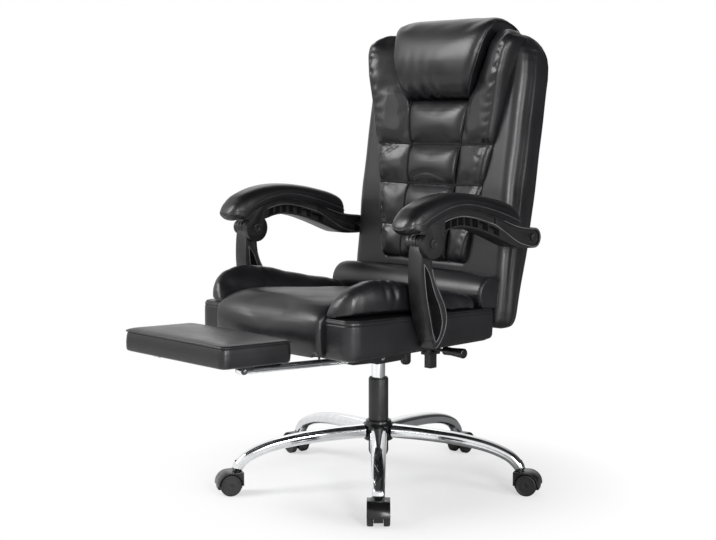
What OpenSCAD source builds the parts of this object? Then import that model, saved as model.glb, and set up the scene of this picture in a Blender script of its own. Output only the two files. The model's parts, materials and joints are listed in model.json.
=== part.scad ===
// Reclining office chair whose armrests follow the back, with a pull-out footrest.
// Origin on the column axis at floor level, +Z up. The sitter faces -Y.

/* [Casters] */
// Diameter of a caster wheel
wheel_d = 51; // [46:0.5:56]
// Width of one wheel of a twin
wheel_w = 14.5; // [12:0.5:17]
// Gap between the two wheels of a twin
wheel_gap = 22.5; // [21:0.5:26]
// Distance of the wheel axle behind the stem
caster_trail = 19; // [16:0.5:24]
// Wall of the caster hood
hood_wall = 3; // [2:0.5:4]
// Diameter of the stem pin
stem_d = 11; // [9:0.5:12]
// Diameter of the wheel axle
axle_d = 6; // [5:0.5:8]

/* [Base] */
// Radius of the circle on which the stems stand
base_radius = 351; // [310:1:380]
// Angle of the first leg, from the front towards +X
base_turn = 45; // [0:1:71]
// Width of a leg at the hub
leg_hub_w = 43; // [38:1:48]
// Width of a leg at its tip
leg_tip_w = 29; // [26:1:34]
// Height of a leg's section at the hub
leg_hub_h = 33; // [28:1:38]
// Height of a leg's section at its tip
leg_tip_h = 25; // [22:1:30]
// Radius of the hub
hub_r = 36; // [34:1:42]
// Height of the hub's top above the floor
hub_top = 150; // [142:1:165]
// Length of the hub
hub_l = 44; // [38:1:56]

/* [Column] */
// Height of the outer tube's top above the floor
tube_top = 257; // [240:1:275]
// Height of the outer tube's foot above the floor
tube_foot = 70; // [60:1:80]
// Outer diameter of the outer tube
tube_d = 48; // [46:0.5:52]
// Wall of the outer tube
tube_wall = 2; // [1.5:0.25:3]
// Diameter of the gas cylinder
cylinder_d = 33; // [28:0.5:36]
// Diameter of the piston rod
rod_d = 10; // [8:0.5:12]
// Length of gas cylinder that shows above the outer tube
column_show = 42; // [38:1:60]

/* [Mechanism] */
// Height from the housing's underside to the seat's underside
mechanism_h = 67; // [64:1:80]
// Outside width of the mechanism housing
housing_w = 72; // [64:1:80]
// Sheet thickness of the housing and of the tilt bracket
sheet = 3; // [2.5:0.25:4]
// Distance of the tilt pin in front of the column
tilt_pin_y = 45; // [40:1:55]
// Diameter of the tilt pin
tilt_pin_d = 12; // [10:0.5:14]
// Distance of the tension spring behind the column
spring_y = 95; // [88:1:100]
// Diameter of the tension knob
knob_d = 26; // [22:1:30]
// Wire diameter of the tension spring
spring_wire = 3.2; // [2.5:0.1:4]
// Distance of both lever grips' outer ends from the middle plane
grip_reach = 255; // [235:1:275]
// Length of a lever grip
grip_l = 64; // [50:1:80]
// Diameter of a lever grip
grip_d = 24; // [20:1:26]

/* [Seat] */
// Width of the seat box
seat_w = 516; // [480:2:520]
// Distance of the seat box's front from the column axis
seat_front = 331; // [300:1:335]
// Distance of the seat box's rear from the column axis
seat_rear = 137; // [130:1:139]
// Height of the seat box at its front
box_front_h = 91; // [80:1:100]
// Height of the seat box at its rear
box_rear_h = 74; // [66:1:78]
// Thickness of the plywood seat board
board_t = 12; // [9:1:15]
// Width of the centre seat pad
pad_w = 352; // [320:2:370]
// Height of a side bolster above the seat box
bolster_h = 76; // [60:1:85]
// Radius of the lumbar roll at its ends
roll_r = 45; // [40:1:46]
// Extra radius of the lumbar roll in the middle
roll_crown = 7; // [3:1:8]

/* [Footrest] */
// Width of the footrest pad
foot_w = 348; // [310:2:360]
// Length of the footrest pad
foot_l = 190; // [160:2:192]
// Thickness of the footrest pad at its edge
foot_t = 46; // [36:1:50]
// Distance of the footrest hinge in front of the column axis
foot_hinge_y = 545; // [535:1:560]
// Distance of each footrest rail from the middle plane
rail_x = 145; // [138:1:150]
// Diameter of a footrest rail
rail_d = 16; // [14:0.5:18]
// Fall of the rails towards the column in degrees
rail_slope = 3; // [2.5:0.1:3.5]

/* [Back] */
// How far each side of the back shell stands inside the seat box's side
back_inset = 3; // [2:1:12]
// Tilt of the back at rest in degrees
back_tilt = 9.37; // [9:0.01:9.8]
// Length of the back shell
back_l = 706; // [680:1:730]
// Thickness of the back shell
back_t = 114; // [106:0.5:118]
// Bulge of the rear panel in the middle
rear_crown = 14; // [8:1:18]
// Swell of the channels of the centre cushion in front of their seams
channel_swell = 28; // [18:1:30]
// Half width of the head pillow at its lower edge
pillow_low_w = 103; // [95:1:110]
// Half width of the head pillow at its upper edge
pillow_top_w = 158; // [145:1:165]
// Distance of the recline hinges from the middle plane
hinge_x = 150; // [146:1:154]
// Diameter of the recline hinge pins
hinge_d = 10; // [8:0.5:12]

/* [Arms] */
// Distance of each armrest's reference plane outside the seat box
arm_off = 38; // [38:1:42]
// Width of a strut
strut_w = 39; // [34:1:39]
// Radius of the ribbed barrel at the head of a strut
barrel_r = 18; // [15:0.5:20]
// Length of the ribbed barrel
barrel_l = 55; // [50:1:58]
// Radius of the disc at the front of an armrest frame
disc_r = 33; // [30:1:36]
// Thickness of that disc
disc_t = 15.7; // [12:0.1:15.7]
// Diameter of the pivot bolts
pivot_d = 10; // [8:0.5:12]
// Width of an arm pad
arm_pad_w = 80; // [70:1:84]

/* [Fits] */
// Radial running clearance of bearings and hinges
run = 0.06; // [0.03:0.01:0.09]
// Gap between seated pieces that do not move on each other
seat_gap = 0.04; // [0.03:0.01:0.1]
// Gap that a soft piece keeps from its neighbours
soft_gap = 0.4; // [0.3:0.1:0.8]

/* [Hidden] */
$fn = 48;
CASTERS = 5;
SIDES = [-1, 1];

// Casters: axle height, hood radii and the level on which a leg tip stands
wheel_r = wheel_d / 2;
hood_in_r = wheel_r + 1.7;
hood_out_r = hood_in_r + hood_wall;
hood_w = wheel_gap + 2 * wheel_w;
hood_top = wheel_r + hood_out_r + 1.8;
collar_t = 2.4;
leg_tip_z = hood_top + collar_t + 0.1;
stem_grip = 22;

// Column: levels of the pieces inside the outer tube
tube_r = tube_d / 2;
tube_in_r = tube_r - tube_wall;
cap_t = 4;
bearing_t = 8;
cylinder_r = cylinder_d / 2;
cylinder_wall = 2.5;
cylinder_foot = tube_foot + 51;
socket_h = 23;

// Mechanism levels
housing_z = tube_top + column_show;
seat_z = housing_z + mechanism_h;
tilt_z = housing_z + 27;
plate_t = 4;
plate_z = seat_z - plate_t;
valve_z = housing_z + 30;
lever_rod_r = 4;
lever_pin_r = 3;
lever_y = -40;
lever_pivot_x = housing_w / 2 - sheet / 2;
lever_z = valve_z + lever_rod_r + seat_gap;
knob_bottom = housing_z - 22;
spring_foot = housing_z + 23;
lock_x = 104;
lock_reach = grip_reach - 42;
lock_y = 73;
lock_lever_z = seat_z - 33;

// Seat: slope of the box's top face, and its height at a given y
box_slope = (box_rear_h - box_front_h) / (seat_rear + seat_front);
function box_top(y) = seat_z + box_front_h + box_slope * (y + seat_front);
pad_hw = pad_w / 2;

// Footrest: the hinge axis, which is also the front end of the rails
foot_z = seat_z - 1;
rail_r = rail_d / 2;
rail_l = 415;
guide_l = 90;
guide_from = 310;
foot_rise = 10;
foot_behind = foot_l * 0.62;
foot_board_t = 8;

// Arm linkage: a parallelogram of strut pivot, arm pivot, rear bolt and recline hinge
arm_x = seat_w / 2 + arm_off;
arm_pivot = [-146, seat_z + 247];
rear_bolt = [200, seat_z + 239];
strut_pivot = [-128, seat_z + 36];
recline_hinge = strut_pivot + rear_bolt - arm_pivot;
strut_face = 4;
boss_depth = 5;
barrel_turns = 5;
frame_out = strut_face + 0.3 + disc_t;
frame_in = -36;

// Back: the frame of the back's own depth d and height h, tilted about the X axis
back_w = seat_w - 2 * back_inset;
back_y = 125.8;
back_z = seat_z + 26;
cushion_d = 30;
board_d = cushion_d + soft_gap;
back_board_t = 12;
bar_d = board_d + back_board_t + seat_gap;
bar_w = 32;
bar_t = 8;
bar_l = 330;
seams = [for (s = [146, 228, 333, 432, 543]) s * (back_l - 163) / 543];
pillow_foot = back_l - 160;
board_top = back_l - 16;
roll_y = 126;
roll_z = seat_z + 104;
roll_rear_d = 11;

LEATHER = [0.09, 0.09, 0.095];
PLASTIC = [0.06, 0.06, 0.065];
STEEL = [0.55, 0.56, 0.58];
CHROME = [0.85, 0.86, 0.88];
PLY = [0.72, 0.58, 0.4];

// A smooth curve through a few points, with n steps between neighbours
function smooth(p, n) = let (m = len(p)) concat(
  [for (i = [0:m - 2], k = [0:n - 1])
    bend(p[max(i - 1, 0)], p[i], p[i + 1], p[min(i + 2, m - 1)], k / n)],
  [p[m - 1]]);
function bend(a, b, c, d, t) = 0.5 * (2 * b + (c - a) * t
  + (2 * a - 5 * b + 4 * c - d) * t * t + (3 * b - a - 3 * c + d) * t * t * t);
function flip(p) = [for (i = [len(p) - 1:-1:0]) p[i]];
function arc(c, r, a0, a1, n) = [for (k = [0:n])
  let (a = a0 + (a1 - a0) * k / n) c + r * [cos(a), sin(a)]];
// Signed power, for rings between an ellipse and a rectangle
function spow(v, e) = sign(v) * pow(abs(v), e);
// Rectangle with round corners about the origin, as 4 * n points
function round_rect(hx, hy, r, n) = [for (q = [0:3], k = [0:n - 1])
  let (a = 90 * q + 90 * k / (n - 1),
       c = [(q == 0 || q == 3 ? 1 : -1) * (hx - r), (q < 2 ? 1 : -1) * (hy - r)])
  c + r * [cos(a), sin(a)]];

// Skin over a row of closed rings with equal counts of points, closed at both ends; ends
// holds the triangles of an end whose outline is hollow
module loft(rings, ends = []) {
  m = len(rings);
  n = len(rings[0]);
  cap = len(ends) == 0 ? [[for (j = [0:n - 1]) j]] : ends;
  polyhedron([for (ring = rings) each ring], concat(
    cap,
    [for (i = [0:m - 2], j = [0:n - 1]) let (a = i * n, b = (j + 1) % n)
      each [[a + j, a + n + j, a + n + b], [a + j, a + n + b, a + b]]],
    [for (face = cap) [for (j = flip(face)) (m - 1) * n + j]]));
}

// Plate with an outline in [y, z], from x0 to x0 + w
module side_plate(outline, x0, w) {
  translate([x0, 0, 0]) rotate([90, 0, 90]) linear_extrude(w) polygon(outline);
}

// Cylinder along X about a point [y, z]
module bar_x(at, r, x0, w) {
  translate([x0, at[0], at[1]]) rotate([0, 90, 0]) cylinder(r = r, h = w);
}

// Places children in the back's own frame: depth along +Y, height along +Z
module on_back() {
  translate([0, back_y, back_z]) rotate([-back_tilt, 0, 0]) children();
}

// Places children in the footrest's own frame, with its origin on the hinge axis
module on_footrest() {
  translate([0, -foot_hinge_y, foot_z]) rotate([-2.2, 0, 0]) children();
}

// Places children along the rails, with the hinge axis at the origin and +Y inwards
module on_rails() {
  translate([0, -foot_hinge_y, foot_z]) rotate([-rail_slope, 0, 0]) children();
}

// Places children at caster i, with +X away from the column and Z on the stem
module at_caster(i) {
  rotate([0, 0, base_turn - 90 + 360 / CASTERS * (i - 1)]) translate([base_radius, 0, 0])
    children();
}

module caster_hood() {
  web_z = 14;
  color(PLASTIC) difference() {
    union() {
      // Web between the wheels, open below for the tread of the floor
      rotate([90, 0, 0]) linear_extrude(wheel_gap - 1.2, center = true) intersection() {
        hood_side();
        translate([-50, web_z]) square([150, 100]);
      }
      // Shell over the wheels
      rotate([90, 0, 0]) linear_extrude(hood_w, center = true) difference() {
        intersection() {
          hood_side();
          translate([-50, wheel_r - 2]) square([150, 100]);
        }
        translate([caster_trail, wheel_r]) circle(hood_in_r);
      }
      translate([0, 0, wheel_r + 8]) cylinder(r = stem_d / 2 + 4.5, h = hood_top - wheel_r - 8);
    }
    translate([0, 0, hood_top - stem_grip]) cylinder(d = stem_d + 2 * seat_gap, h = 50);
    translate([caster_trail, 0, wheel_r]) rotate([90, 0, 0])
      cylinder(d = axle_d + 2 * run, h = 60, center = true);
  }
  // Steel stem, pressed in the hood
  color(STEEL) rotate_extrude() polygon([
    [0, hood_top - stem_grip + 1], [stem_d / 2, hood_top - stem_grip + 1],
    [stem_d / 2, hood_top + seat_gap], [stem_d / 2 + 3, hood_top + seat_gap],
    [stem_d / 2 + 3, hood_top + collar_t], [stem_d / 2, hood_top + collar_t],
    [stem_d / 2, hood_top + stem_grip], [stem_d / 2 - 1.5, hood_top + stem_grip + 1.5],
    [0, hood_top + stem_grip + 1.5]]);
}

// Side outline of a hood: round over the wheel, square towards the stem
module hood_side() {
  translate([caster_trail, wheel_r]) circle(hood_out_r, $fn = 64);
  translate([caster_trail - hood_out_r, wheel_r - 2]) square([hood_out_r, hood_out_r + 2]);
}

module caster_wheels() {
  s0 = wheel_gap / 2;
  s1 = s0 + wheel_w;
  a = axle_d / 2 + seat_gap;
  translate([caster_trail, 0, wheel_r]) {
    color(PLASTIC) for (side = SIDES) rotate([90 * side, 0, 0])
      rotate_extrude($fn = 72) polygon([
        [a, s0], [wheel_r - 1.5, s0], [wheel_r, s0 + 1.5], [wheel_r, s1 - 2.5],
        [wheel_r - 2.2, s1 - 0.4], [wheel_r - 4.5, s1], [wheel_r - 5.5, s1 - 1.2],
        [wheel_r * 0.4, s1 - 0.3], [a, s1 - 0.3]]);
    // Steel axle, which turns with both wheels
    color(STEEL) rotate([90, 0, 0]) cylinder(d = axle_d, h = hood_w - 3, center = true);
  }
}

// Spine of a leg in [radius, height]: level at the hub, upright over the stem
function leg_spine() = let (r0 = hub_r - 6, z0 = hub_top - 21, dr = base_radius - r0,
    dz = z0 - leg_tip_z)
  smooth([for (p = [[0, 1], [0.25, 0.97], [0.53, 0.87], [0.75, 0.695], [0.905, 0.435],
    [0.98, 0.16], [1, 0]]) [r0 + dr * p[0], leg_tip_z + dz * p[1]]], 3);

module leg() {
  spine = leg_spine();
  last = len(spine) - 1;
  rings = [for (i = [0:last]) let (
      s = i / last,
      t = i == 0 ? [1, 0] : i == last ? [0, -1] : spine[i + 1] - spine[i - 1],
      u = t / norm(t),
      w = leg_hub_w / 2 + (leg_tip_w - leg_hub_w) / 2 * s,
      h = leg_hub_h / 2 + (leg_tip_h - leg_hub_h) / 2 * s)
    [for (k = [0:17]) let (a = 360 * k / 18, off = h * spow(sin(a), 0.8))
      [spine[i][0] - u[1] * off, w * spow(cos(a), 0.8), spine[i][1] + u[0] * off]]];
  loft(rings);
}

module base_legs() {
  color(CHROME) difference() {
    for (i = [0:CASTERS - 1])
      rotate([0, 0, base_turn - 90 + 360 / CASTERS * i]) difference() {
        leg();
        translate([base_radius, 0, leg_tip_z - 1])
          cylinder(d = stem_d + 2 * run, h = stem_grip + 3);
      }
    translate([0, 0, hub_top - hub_l - 20]) cylinder(r = hub_r + seat_gap, h = hub_l + 60);
  }
}

module base_hub() {
  foot = hub_top - hub_l;
  bore = tube_r + seat_gap;
  color(PLASTIC) rotate_extrude($fn = 72) polygon([
    [bore, foot], [hub_r - 3, foot], [hub_r, foot + 3], [hub_r, hub_top - 8],
    [hub_r - 4, hub_top - 2], [hub_r - 5, hub_top], [hub_r - 5, hub_top + 3],
    [hub_r - 7, hub_top + 5], [bore, hub_top + 5]]);
}

module column_tube() {
  hole = rod_d / 2 + run;
  color(PLASTIC) rotate_extrude($fn = 72) polygon([
    [hole, tube_foot], [tube_r - 3, tube_foot], [tube_r, tube_foot + 8], [tube_r, tube_top - 1],
    [tube_r - 1, tube_top], [tube_in_r, tube_top], [tube_in_r, tube_foot + cap_t],
    [hole, tube_foot + cap_t]]);
}

module guide_bush() {
  bore = cylinder_r + run;
  color(PLASTIC) rotate_extrude($fn = 72) polygon([
    [bore, tube_top - 82], [tube_in_r - seat_gap, tube_top - 82],
    [tube_in_r - seat_gap, tube_top + seat_gap], [tube_r - 1.5, tube_top + seat_gap],
    [tube_r - 2, tube_top + 2.5], [bore, tube_top + 2.5]]);
}

module thrust_bearing() {
  foot = tube_foot + cap_t + seat_gap;
  color(STEEL) rotate_extrude() polygon([
    [rod_d / 2 + run, foot], [rod_d / 2 + 11, foot], [rod_d / 2 + 11, foot + bearing_t / 3],
    [rod_d / 2 + 9, foot + bearing_t / 2], [rod_d / 2 + 11, foot + bearing_t * 2 / 3],
    [rod_d / 2 + 11, foot + bearing_t], [rod_d / 2 + run, foot + bearing_t]]);
}

// Rod with its clip below the tube's cap, its shoulder on the bearing, and the piston
module piston_rod() {
  r = rod_d / 2;
  shoulder = tube_foot + cap_t + bearing_t + 2 * seat_gap + 0.02;
  piston = cylinder_foot + 57;
  bore = cylinder_r - cylinder_wall - run;
  color(STEEL) rotate_extrude() polygon([
    [0, tube_foot - 5], [r + 3, tube_foot - 5], [r + 3, tube_foot - run], [r, tube_foot - run],
    [r, shoulder], [r + 8, shoulder], [r + 8, shoulder + 3], [r, shoulder + 3],
    [r, piston], [bore, piston], [bore, piston + 10], [0, piston + 10]]);
}

module gas_cylinder() {
  r = cylinder_r;
  inner = cylinder_r - cylinder_wall;
  hole = rod_d / 2 + run;
  pin = 3 + run;
  top = housing_z + socket_h;
  color(CHROME) rotate_extrude($fn = 72) polygon([
    [hole, cylinder_foot], [r - 1, cylinder_foot], [r, cylinder_foot + 1],
    [r, housing_z], [r - 2, top], [pin, top], [pin, housing_z - 8],
    [inner, housing_z - 8], [inner, cylinder_foot + 8], [hole, cylinder_foot + 8]]);
}

module valve_pin() {
  color(STEEL) translate([0, 0, housing_z - 4])
    cylinder(r = 3, h = valve_z - housing_z + 4, $fn = 32);
}

// Pressed steel trough that holds the column, the tilt pin and the tension spring
module mechanism_housing() {
  hw = housing_w / 2;
  rear = spring_y + 17;
  outer = [[-62, housing_z + 22], [-40, housing_z], [40, housing_z], [66, housing_z + 19],
    [rear, housing_z + 19], [rear, housing_z + 27], [-28, housing_z + 42],
    [-62, housing_z + 42]];
  color(PLASTIC) difference() {
    union() {
      difference() {
        side_plate(outer, -hw, housing_w);
        side_plate([[-62 - 5, housing_z + 22 + sheet], [-40 + 1, housing_z + sheet],
          [40 - 1, housing_z + sheet], [66 - 1, housing_z + 19 + sheet],
          [rear + 5, housing_z + 19 + sheet], [rear + 5, housing_z + 60],
          [-62 - 5, housing_z + 60]], -hw + sheet, housing_w - 2 * sheet);
      }
      translate([0, 0, housing_z]) cylinder(r = cylinder_r + 5, h = socket_h - 2);
    }
    // Tapered socket of the gas cylinder
    rotate_extrude() polygon([[0, housing_z - 1],
      [cylinder_r + seat_gap + 0.1, housing_z - 1], [cylinder_r + seat_gap, housing_z],
      [cylinder_r + seat_gap - 2, housing_z + socket_h], [0, housing_z + socket_h]]);
    bar_x([-tilt_pin_y, tilt_z], tilt_pin_d / 2 + seat_gap, -hw - 1, housing_w + 2);
    translate([0, spring_y, housing_z]) cylinder(r = 5 + run, h = 40);
    // Notch in which the height lever rocks
    translate([-hw - 1, -lever_rod_r - 1, lever_z - lever_rod_r - 0.5])
      cube([sheet + 2, 2 * lever_rod_r + 2, 30]);
    translate([-lever_pivot_x, -7 - 2 * run, lever_z]) {
      rotate([-90, 0, 0]) cylinder(r = lever_pin_r + run, h = 14 + 4 * run);
      translate([-5, 0, 0]) cube([10, 14 + 4 * run, 30]);
    }
  }
}

module tilt_pin() {
  l = housing_w + 2 * (sheet + plate_t) + 4;
  color(STEEL) bar_x([-tilt_pin_y, tilt_z], tilt_pin_d / 2, -l / 2, l);
}

// Tube swept along a helix, its ends closed
module tension_spring() {
  r = knob_d / 2 - 1;
  turns = 5;
  per = 16;
  wire = spring_wire / 2;
  low = spring_foot + wire + 0.3;
  high = plate_z - wire - 0.3;
  color(STEEL) translate([0, spring_y, 0]) loft([for (i = [0:turns * per]) let (
      a = 360 * i / per, z = low + (high - low) * i / (turns * per))
    [for (k = [0:7]) let (b = -45 * k)
      [(r + wire * cos(b)) * cos(a), (r + wire * cos(b)) * sin(a), z + wire * sin(b)]]]);
}

// Domed knob with its bolt, which runs up inside the spring
module tension_knob() {
  r = knob_d / 2;
  top = housing_z + 17;
  color(PLASTIC) translate([0, spring_y, 0]) difference() {
    rotate_extrude() polygon(concat([[0, knob_bottom]],
      arc([r - 10, knob_bottom + 10], 10, -90, 0, 8), [[r, top - 3], [r - 2, top], [0, top]]));
    for (k = [0:7]) rotate([0, 0, 45 * k]) translate([r + 2.2, 0, knob_bottom - 1])
      cylinder(r = 3, h = 60);
    translate([0, 0, knob_bottom + 8]) cylinder(r = 5 + seat_gap, h = 60);
  }
  color(STEEL) translate([0, spring_y, knob_bottom + 8 + seat_gap])
    cylinder(r = 5, h = spring_foot + 6 - knob_bottom - 8);
}

// Round bar swept from the valve pin out to the grip, with two bends of 45 degrees
module height_lever() {
  r = lever_rod_r;
  drop = lever_y / 40;
  path = [[4, 0], [-66, 0], [-74, 1.6 * drop], [-81, 6 * drop], [-107, 34 * drop],
    [-114, 38.4 * drop], [-122, lever_y], [-grip_reach + grip_l - 8, lever_y]];
  last = len(path) - 1;
  color(STEEL) translate([0, 0, lever_z]) union() {
    loft([for (i = [0:last]) let (
        t = path[min(i + 1, last)] - path[max(i - 1, 0)], u = t / norm(t))
      [for (k = [0:23]) let (b = 15 * k)
        [path[i][0] - u[1] * r * cos(b), path[i][1] + u[0] * r * cos(b), r * sin(b)]]]);
    // Cross pin that rocks in the housing's notch
    translate([-lever_pivot_x, -7, 0]) rotate([-90, 0, 0]) cylinder(r = lever_pin_r, h = 14);
  }
}

// Turned grip with a waist, along +X, with a socket for its lever
module grip() {
  r = grip_d / 2;
  rotate([0, 90, 0]) rotate_extrude() polygon(concat(
    [[0, 0], [r - 3, 0], [r - 1.5, 2], [r - 2.5, grip_l * 0.35]],
    arc([r - 4, grip_l - 4], 4, 0, 90, 5), [[0, grip_l]]));
}

module height_lever_grip() {
  color(PLASTIC) difference() {
    translate([-grip_reach + grip_l, lever_y, lever_z]) mirror([1, 0, 0]) grip();
    translate([-grip_reach + grip_l - 20, lever_y, lever_z]) rotate([0, 90, 0])
      cylinder(r = lever_rod_r + seat_gap, h = 40);
  }
}

// Plate under the seat board, with ears on the tilt pin
module tilt_bracket() {
  ear_x = housing_w / 2 + 1;
  ear = [[-tilt_pin_y - 16, plate_z + 1], [-tilt_pin_y - 13, tilt_z], [-tilt_pin_y - 8, tilt_z - 11],
    [-tilt_pin_y + 8, tilt_z - 11], [-tilt_pin_y + 13, tilt_z], [-tilt_pin_y + 20, plate_z + 1]];
  color(PLASTIC) difference() {
    union() {
      translate([-85, -105, plate_z]) cube([170, 235, plate_t]);
      for (side = SIDES) side_plate(ear, side > 0 ? ear_x : -ear_x - sheet, sheet);
    }
    bar_x([-tilt_pin_y, tilt_z], tilt_pin_d / 2 + run, -60, 120);
    for (p = bolt_places()) translate([p[0], p[1], plate_z - 1])
      cylinder(r = 4 + seat_gap, h = plate_t + 2, $fn = 32);
  }
}

function bolt_places() = [for (x = [-70, 70], y = [-90, 70]) [x, y]];

// Hexagon bolts that hold the tilt bracket to the seat board
module seat_bolts() {
  color(STEEL) for (p = bolt_places()) translate([p[0], p[1], plate_z - 5.5 - seat_gap]) {
    cylinder(r = 7, h = 5.5, $fn = 6);
    cylinder(r = 4, h = 5.5 + plate_t + board_t, $fn = 32);
  }
}

// Rounded plywood board under the foam
module seat_board() {
  hw = seat_w / 2 - 8;
  color(PLY) difference() {
    translate([0, (seat_rear - seat_front) / 2, seat_z + seat_gap]) linear_extrude(board_t)
      polygon(round_rect(hw, (seat_rear + seat_front) / 2 - 8, 34, 8));
    for (p = bolt_places()) translate([p[0], p[1], seat_z - 1])
      cylinder(r = 4 + seat_gap, h = board_t + 8, $fn = 32);
  }
}

// Foam box in leather: sides drawn in towards the welt at the top, corners round
module seat_box() {
  hw = seat_w / 2;
  hl = (seat_rear + seat_front) / 2;
  mid = (seat_rear - seat_front) / 2;
  // [drawn in, share of the height] of each ring, from the underside to the top
  rows = [[7, 0], [1, 0.07], [0, 0.3], [1, 0.6], [4, 0.84], [3, 0.9], [6, 0.97], [12, 1]];
  color(LEATHER) difference() {
    loft([for (row = rows) [for (p = round_rect(hw - row[0], hl - row[0], 38 - row[0], 7))
      let (y = p[1] + mid) [p[0], y, seat_z + row[1] * (box_top(y) - seat_z)]]]);
    // Room for the seat board, which closes the box from below
    translate([0, mid, seat_z - 1]) linear_extrude(board_t + 1 + 3 * seat_gap)
      polygon(round_rect(hw - 8 + soft_gap, hl - 8 + soft_gap, 34, 8));
    for (side = SIDES) bar_x(strut_pivot, pivot_d / 2 + soft_gap,
      side > 0 ? hw - 34 : -hw - 2, 36);
  }
}

// Outer and under line of the centre pad in [y, z], from the roll over the front edge
function pad_outer() = [[roll_y - 55, 96], [0, 103], [-100, 111], [-200, 120], [-275, 125],
  [-322, 120], [-352, 104], [-368, 80], [-371, 48], [-366, 18], [-355, -1]];
function pad_under() = let (f = seat_front + soft_gap, z = box_front_h + soft_gap)
  [for (y = [roll_y - 55, 0, -100, -200, -270, 12 - f]) [y, box_top(y) - seat_z + soft_gap],
   [-f - 1, z - 4], [-f - 2, z - 16], [-f - 3, 55], [-f - 4, 26], [-f - 9, 2]];

// Centre pad: crowned across, drawn in at both piped edges, and hung over the front
module seat_pad() {
  outer = pad_outer();
  under = pad_under();
  corners = concat([under[0]], [for (i = [5:len(under) - 1]) under[i]]);
  last = len(outer) - 1;
  n = len(outer) + len(corners);
  // Each end in triangles: over the seat, then down the roll in front of it
  ends = concat([for (i = [0:4]) [n - 1, i, i + 1]], [[n - 1, 5, n - 2]],
    [for (i = [5:last - 1]) each [[i, i + 1, n + 2 - i], [i, n + 2 - i, n + 3 - i]]]);
  stations = [-1, -0.985, -0.94, -0.8, -0.5, 0, 0.5, 0.8, 0.94, 0.985, 1];
  color(LEATHER) translate([0, 0, seat_z]) loft([for (s = stations) let (
      k = 0.5 + 0.5 * sqrt(max(0, 1 - pow(abs(s), 7))) * (1 - 0.12 * s * s))
    [for (p = concat([for (i = [0:last]) under[i] + (outer[i] - under[i]) * k],
      flip(corners))) [-pad_hw * s, p[0], p[1]]]], ends);
}

// Side bolster: [distance behind the tip, height share, width share] along the seat
module seat_bolster(side) {
  tip = -seat_front - 9;
  inner = pad_hw + soft_gap;
  width = seat_w / 2 - 6 - inner;
  rows = [[0, 0.2, 0.5], [6, 0.38, 0.72], [20, 0.6, 0.9], [45, 0.82, 0.98], [85, 0.98, 1],
    [118, 1, 1], [154, 0.97, 1], [190, 0.9, 1], [234, 0.78, 1], [300, 0.64, 1],
    [361, 0.53, 1], [400, 0.43, 1], [410, 0.36, 0.98]];
  color(LEATHER) loft([for (row = rows) let (y = tip + row[0], z = box_top(max(y, 12 - seat_front))
        + soft_gap, h = bolster_h * row[1], w = width * row[2])
    [for (k = [0:13]) let (a = 180 * k / 13)
      [side * (inner + width / 2 + (width - w) * 0.3) - w / 2 * spow(cos(a), 0.7), y,
       z + h * spow(sin(a), 0.75)]]]);
}

// Lumbar roll across the seat's rear, flat against the back and on the seat box
module lumbar_roll() {
  hw = seat_w / 2 - 8;
  rows = [[-1, 0.93], [-0.985, 1], [-0.94, 0.98], [-0.8, 1], [-0.4, 1], [0, 1], [0.4, 1],
    [0.8, 1], [0.94, 0.98], [0.985, 1], [1, 0.93]];
  color(LEATHER) difference() {
    loft([for (row = rows) let (s = row[0], r = (roll_r + roll_crown * (1 - s * s)) * row[1])
      [for (k = [0:23]) let (a = 15 * k) [hw * s, roll_y + r * cos(a), roll_z + r * sin(a)]]]);
    on_back() translate([-seat_w, roll_rear_d - soft_gap, -100]) cube([2 * seat_w, 200, 400]);
    side_plate([[0, box_top(0) + soft_gap], [220, box_top(220) + soft_gap], [220, seat_z],
      [0, seat_z]], -seat_w, 2 * seat_w);
  }
}

// Sleeves under the seat board in which the rails slide
module footrest_guides() {
  block = rail_d + 6;
  color(PLASTIC) for (side = SIDES) difference() {
    intersection() {
      on_rails() translate([side * rail_x - block / 2, guide_from, -block / 2])
        cube([block, guide_l, 60]);
      translate([-seat_w, -seat_front - 80, 0]) cube([2 * seat_w, seat_front + 180, seat_z]);
    }
    on_rails() translate([side * rail_x, guide_from - 10, 0]) rotate([-90, 0, 0])
      cylinder(r = rail_r + run, h = guide_l + 20);
  }
}

// Chrome rails with an eye at the front, and the two bars that tie them
module footrest_rails() {
  bar_r = rail_r * 0.6;
  reach = 2 * (rail_x - rail_r - seat_gap);
  color(CHROME) on_rails() {
    for (side = SIDES) translate([side * rail_x, 0, 0]) difference() {
      union() {
        rotate([-90, 0, 0]) cylinder(r = rail_r, h = rail_l);
        rotate([0, 90, 0]) cylinder(r = rail_r, h = rail_d + 0.4, center = true);
      }
      rotate([0, 90, 0]) cylinder(r = 4 + run, h = rail_d + 2, center = true);
    }
    for (y = [45, rail_l - 9]) translate([-reach / 2, y, 0]) rotate([0, 90, 0])
      cylinder(r = bar_r, h = reach);
  }
}

// Ears under the footrest board, one pair to each rail
module footrest_hinges() {
  gap = rail_r + 0.6;
  wall = 3;
  color(PLASTIC) on_footrest() for (side = SIDES) translate([side * rail_x, 0, 0]) difference() {
    union() {
      for (x = [-gap - wall, gap]) difference() {
        union() {
          bar_x([0, 0], 7, x, wall);
          translate([x, -7, 0]) cube([wall, 30, foot_rise - 0.5]);
        }
      }
      translate([-gap - wall - 6, -9, foot_rise - 1.5]) cube([2 * (gap + wall + 6), 40, 1.5 - seat_gap]);
    }
    bar_x([0, 0], 4 + seat_gap, -30, 60);
  }
}

module footrest_pins() {
  l = 2 * (rail_r + 4.6);
  color(STEEL) on_footrest() for (side = SIDES) translate([side * rail_x, 0, 0])
    bar_x([0, 0], 4, -l / 2, l);
}

module footrest_board() {
  color(PLY) on_footrest() translate([0, foot_behind - foot_l / 2, foot_rise])
    linear_extrude(foot_board_t) polygon(round_rect(foot_w / 2 - 8, foot_l / 2 - 8, 8, 5));
}

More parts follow.
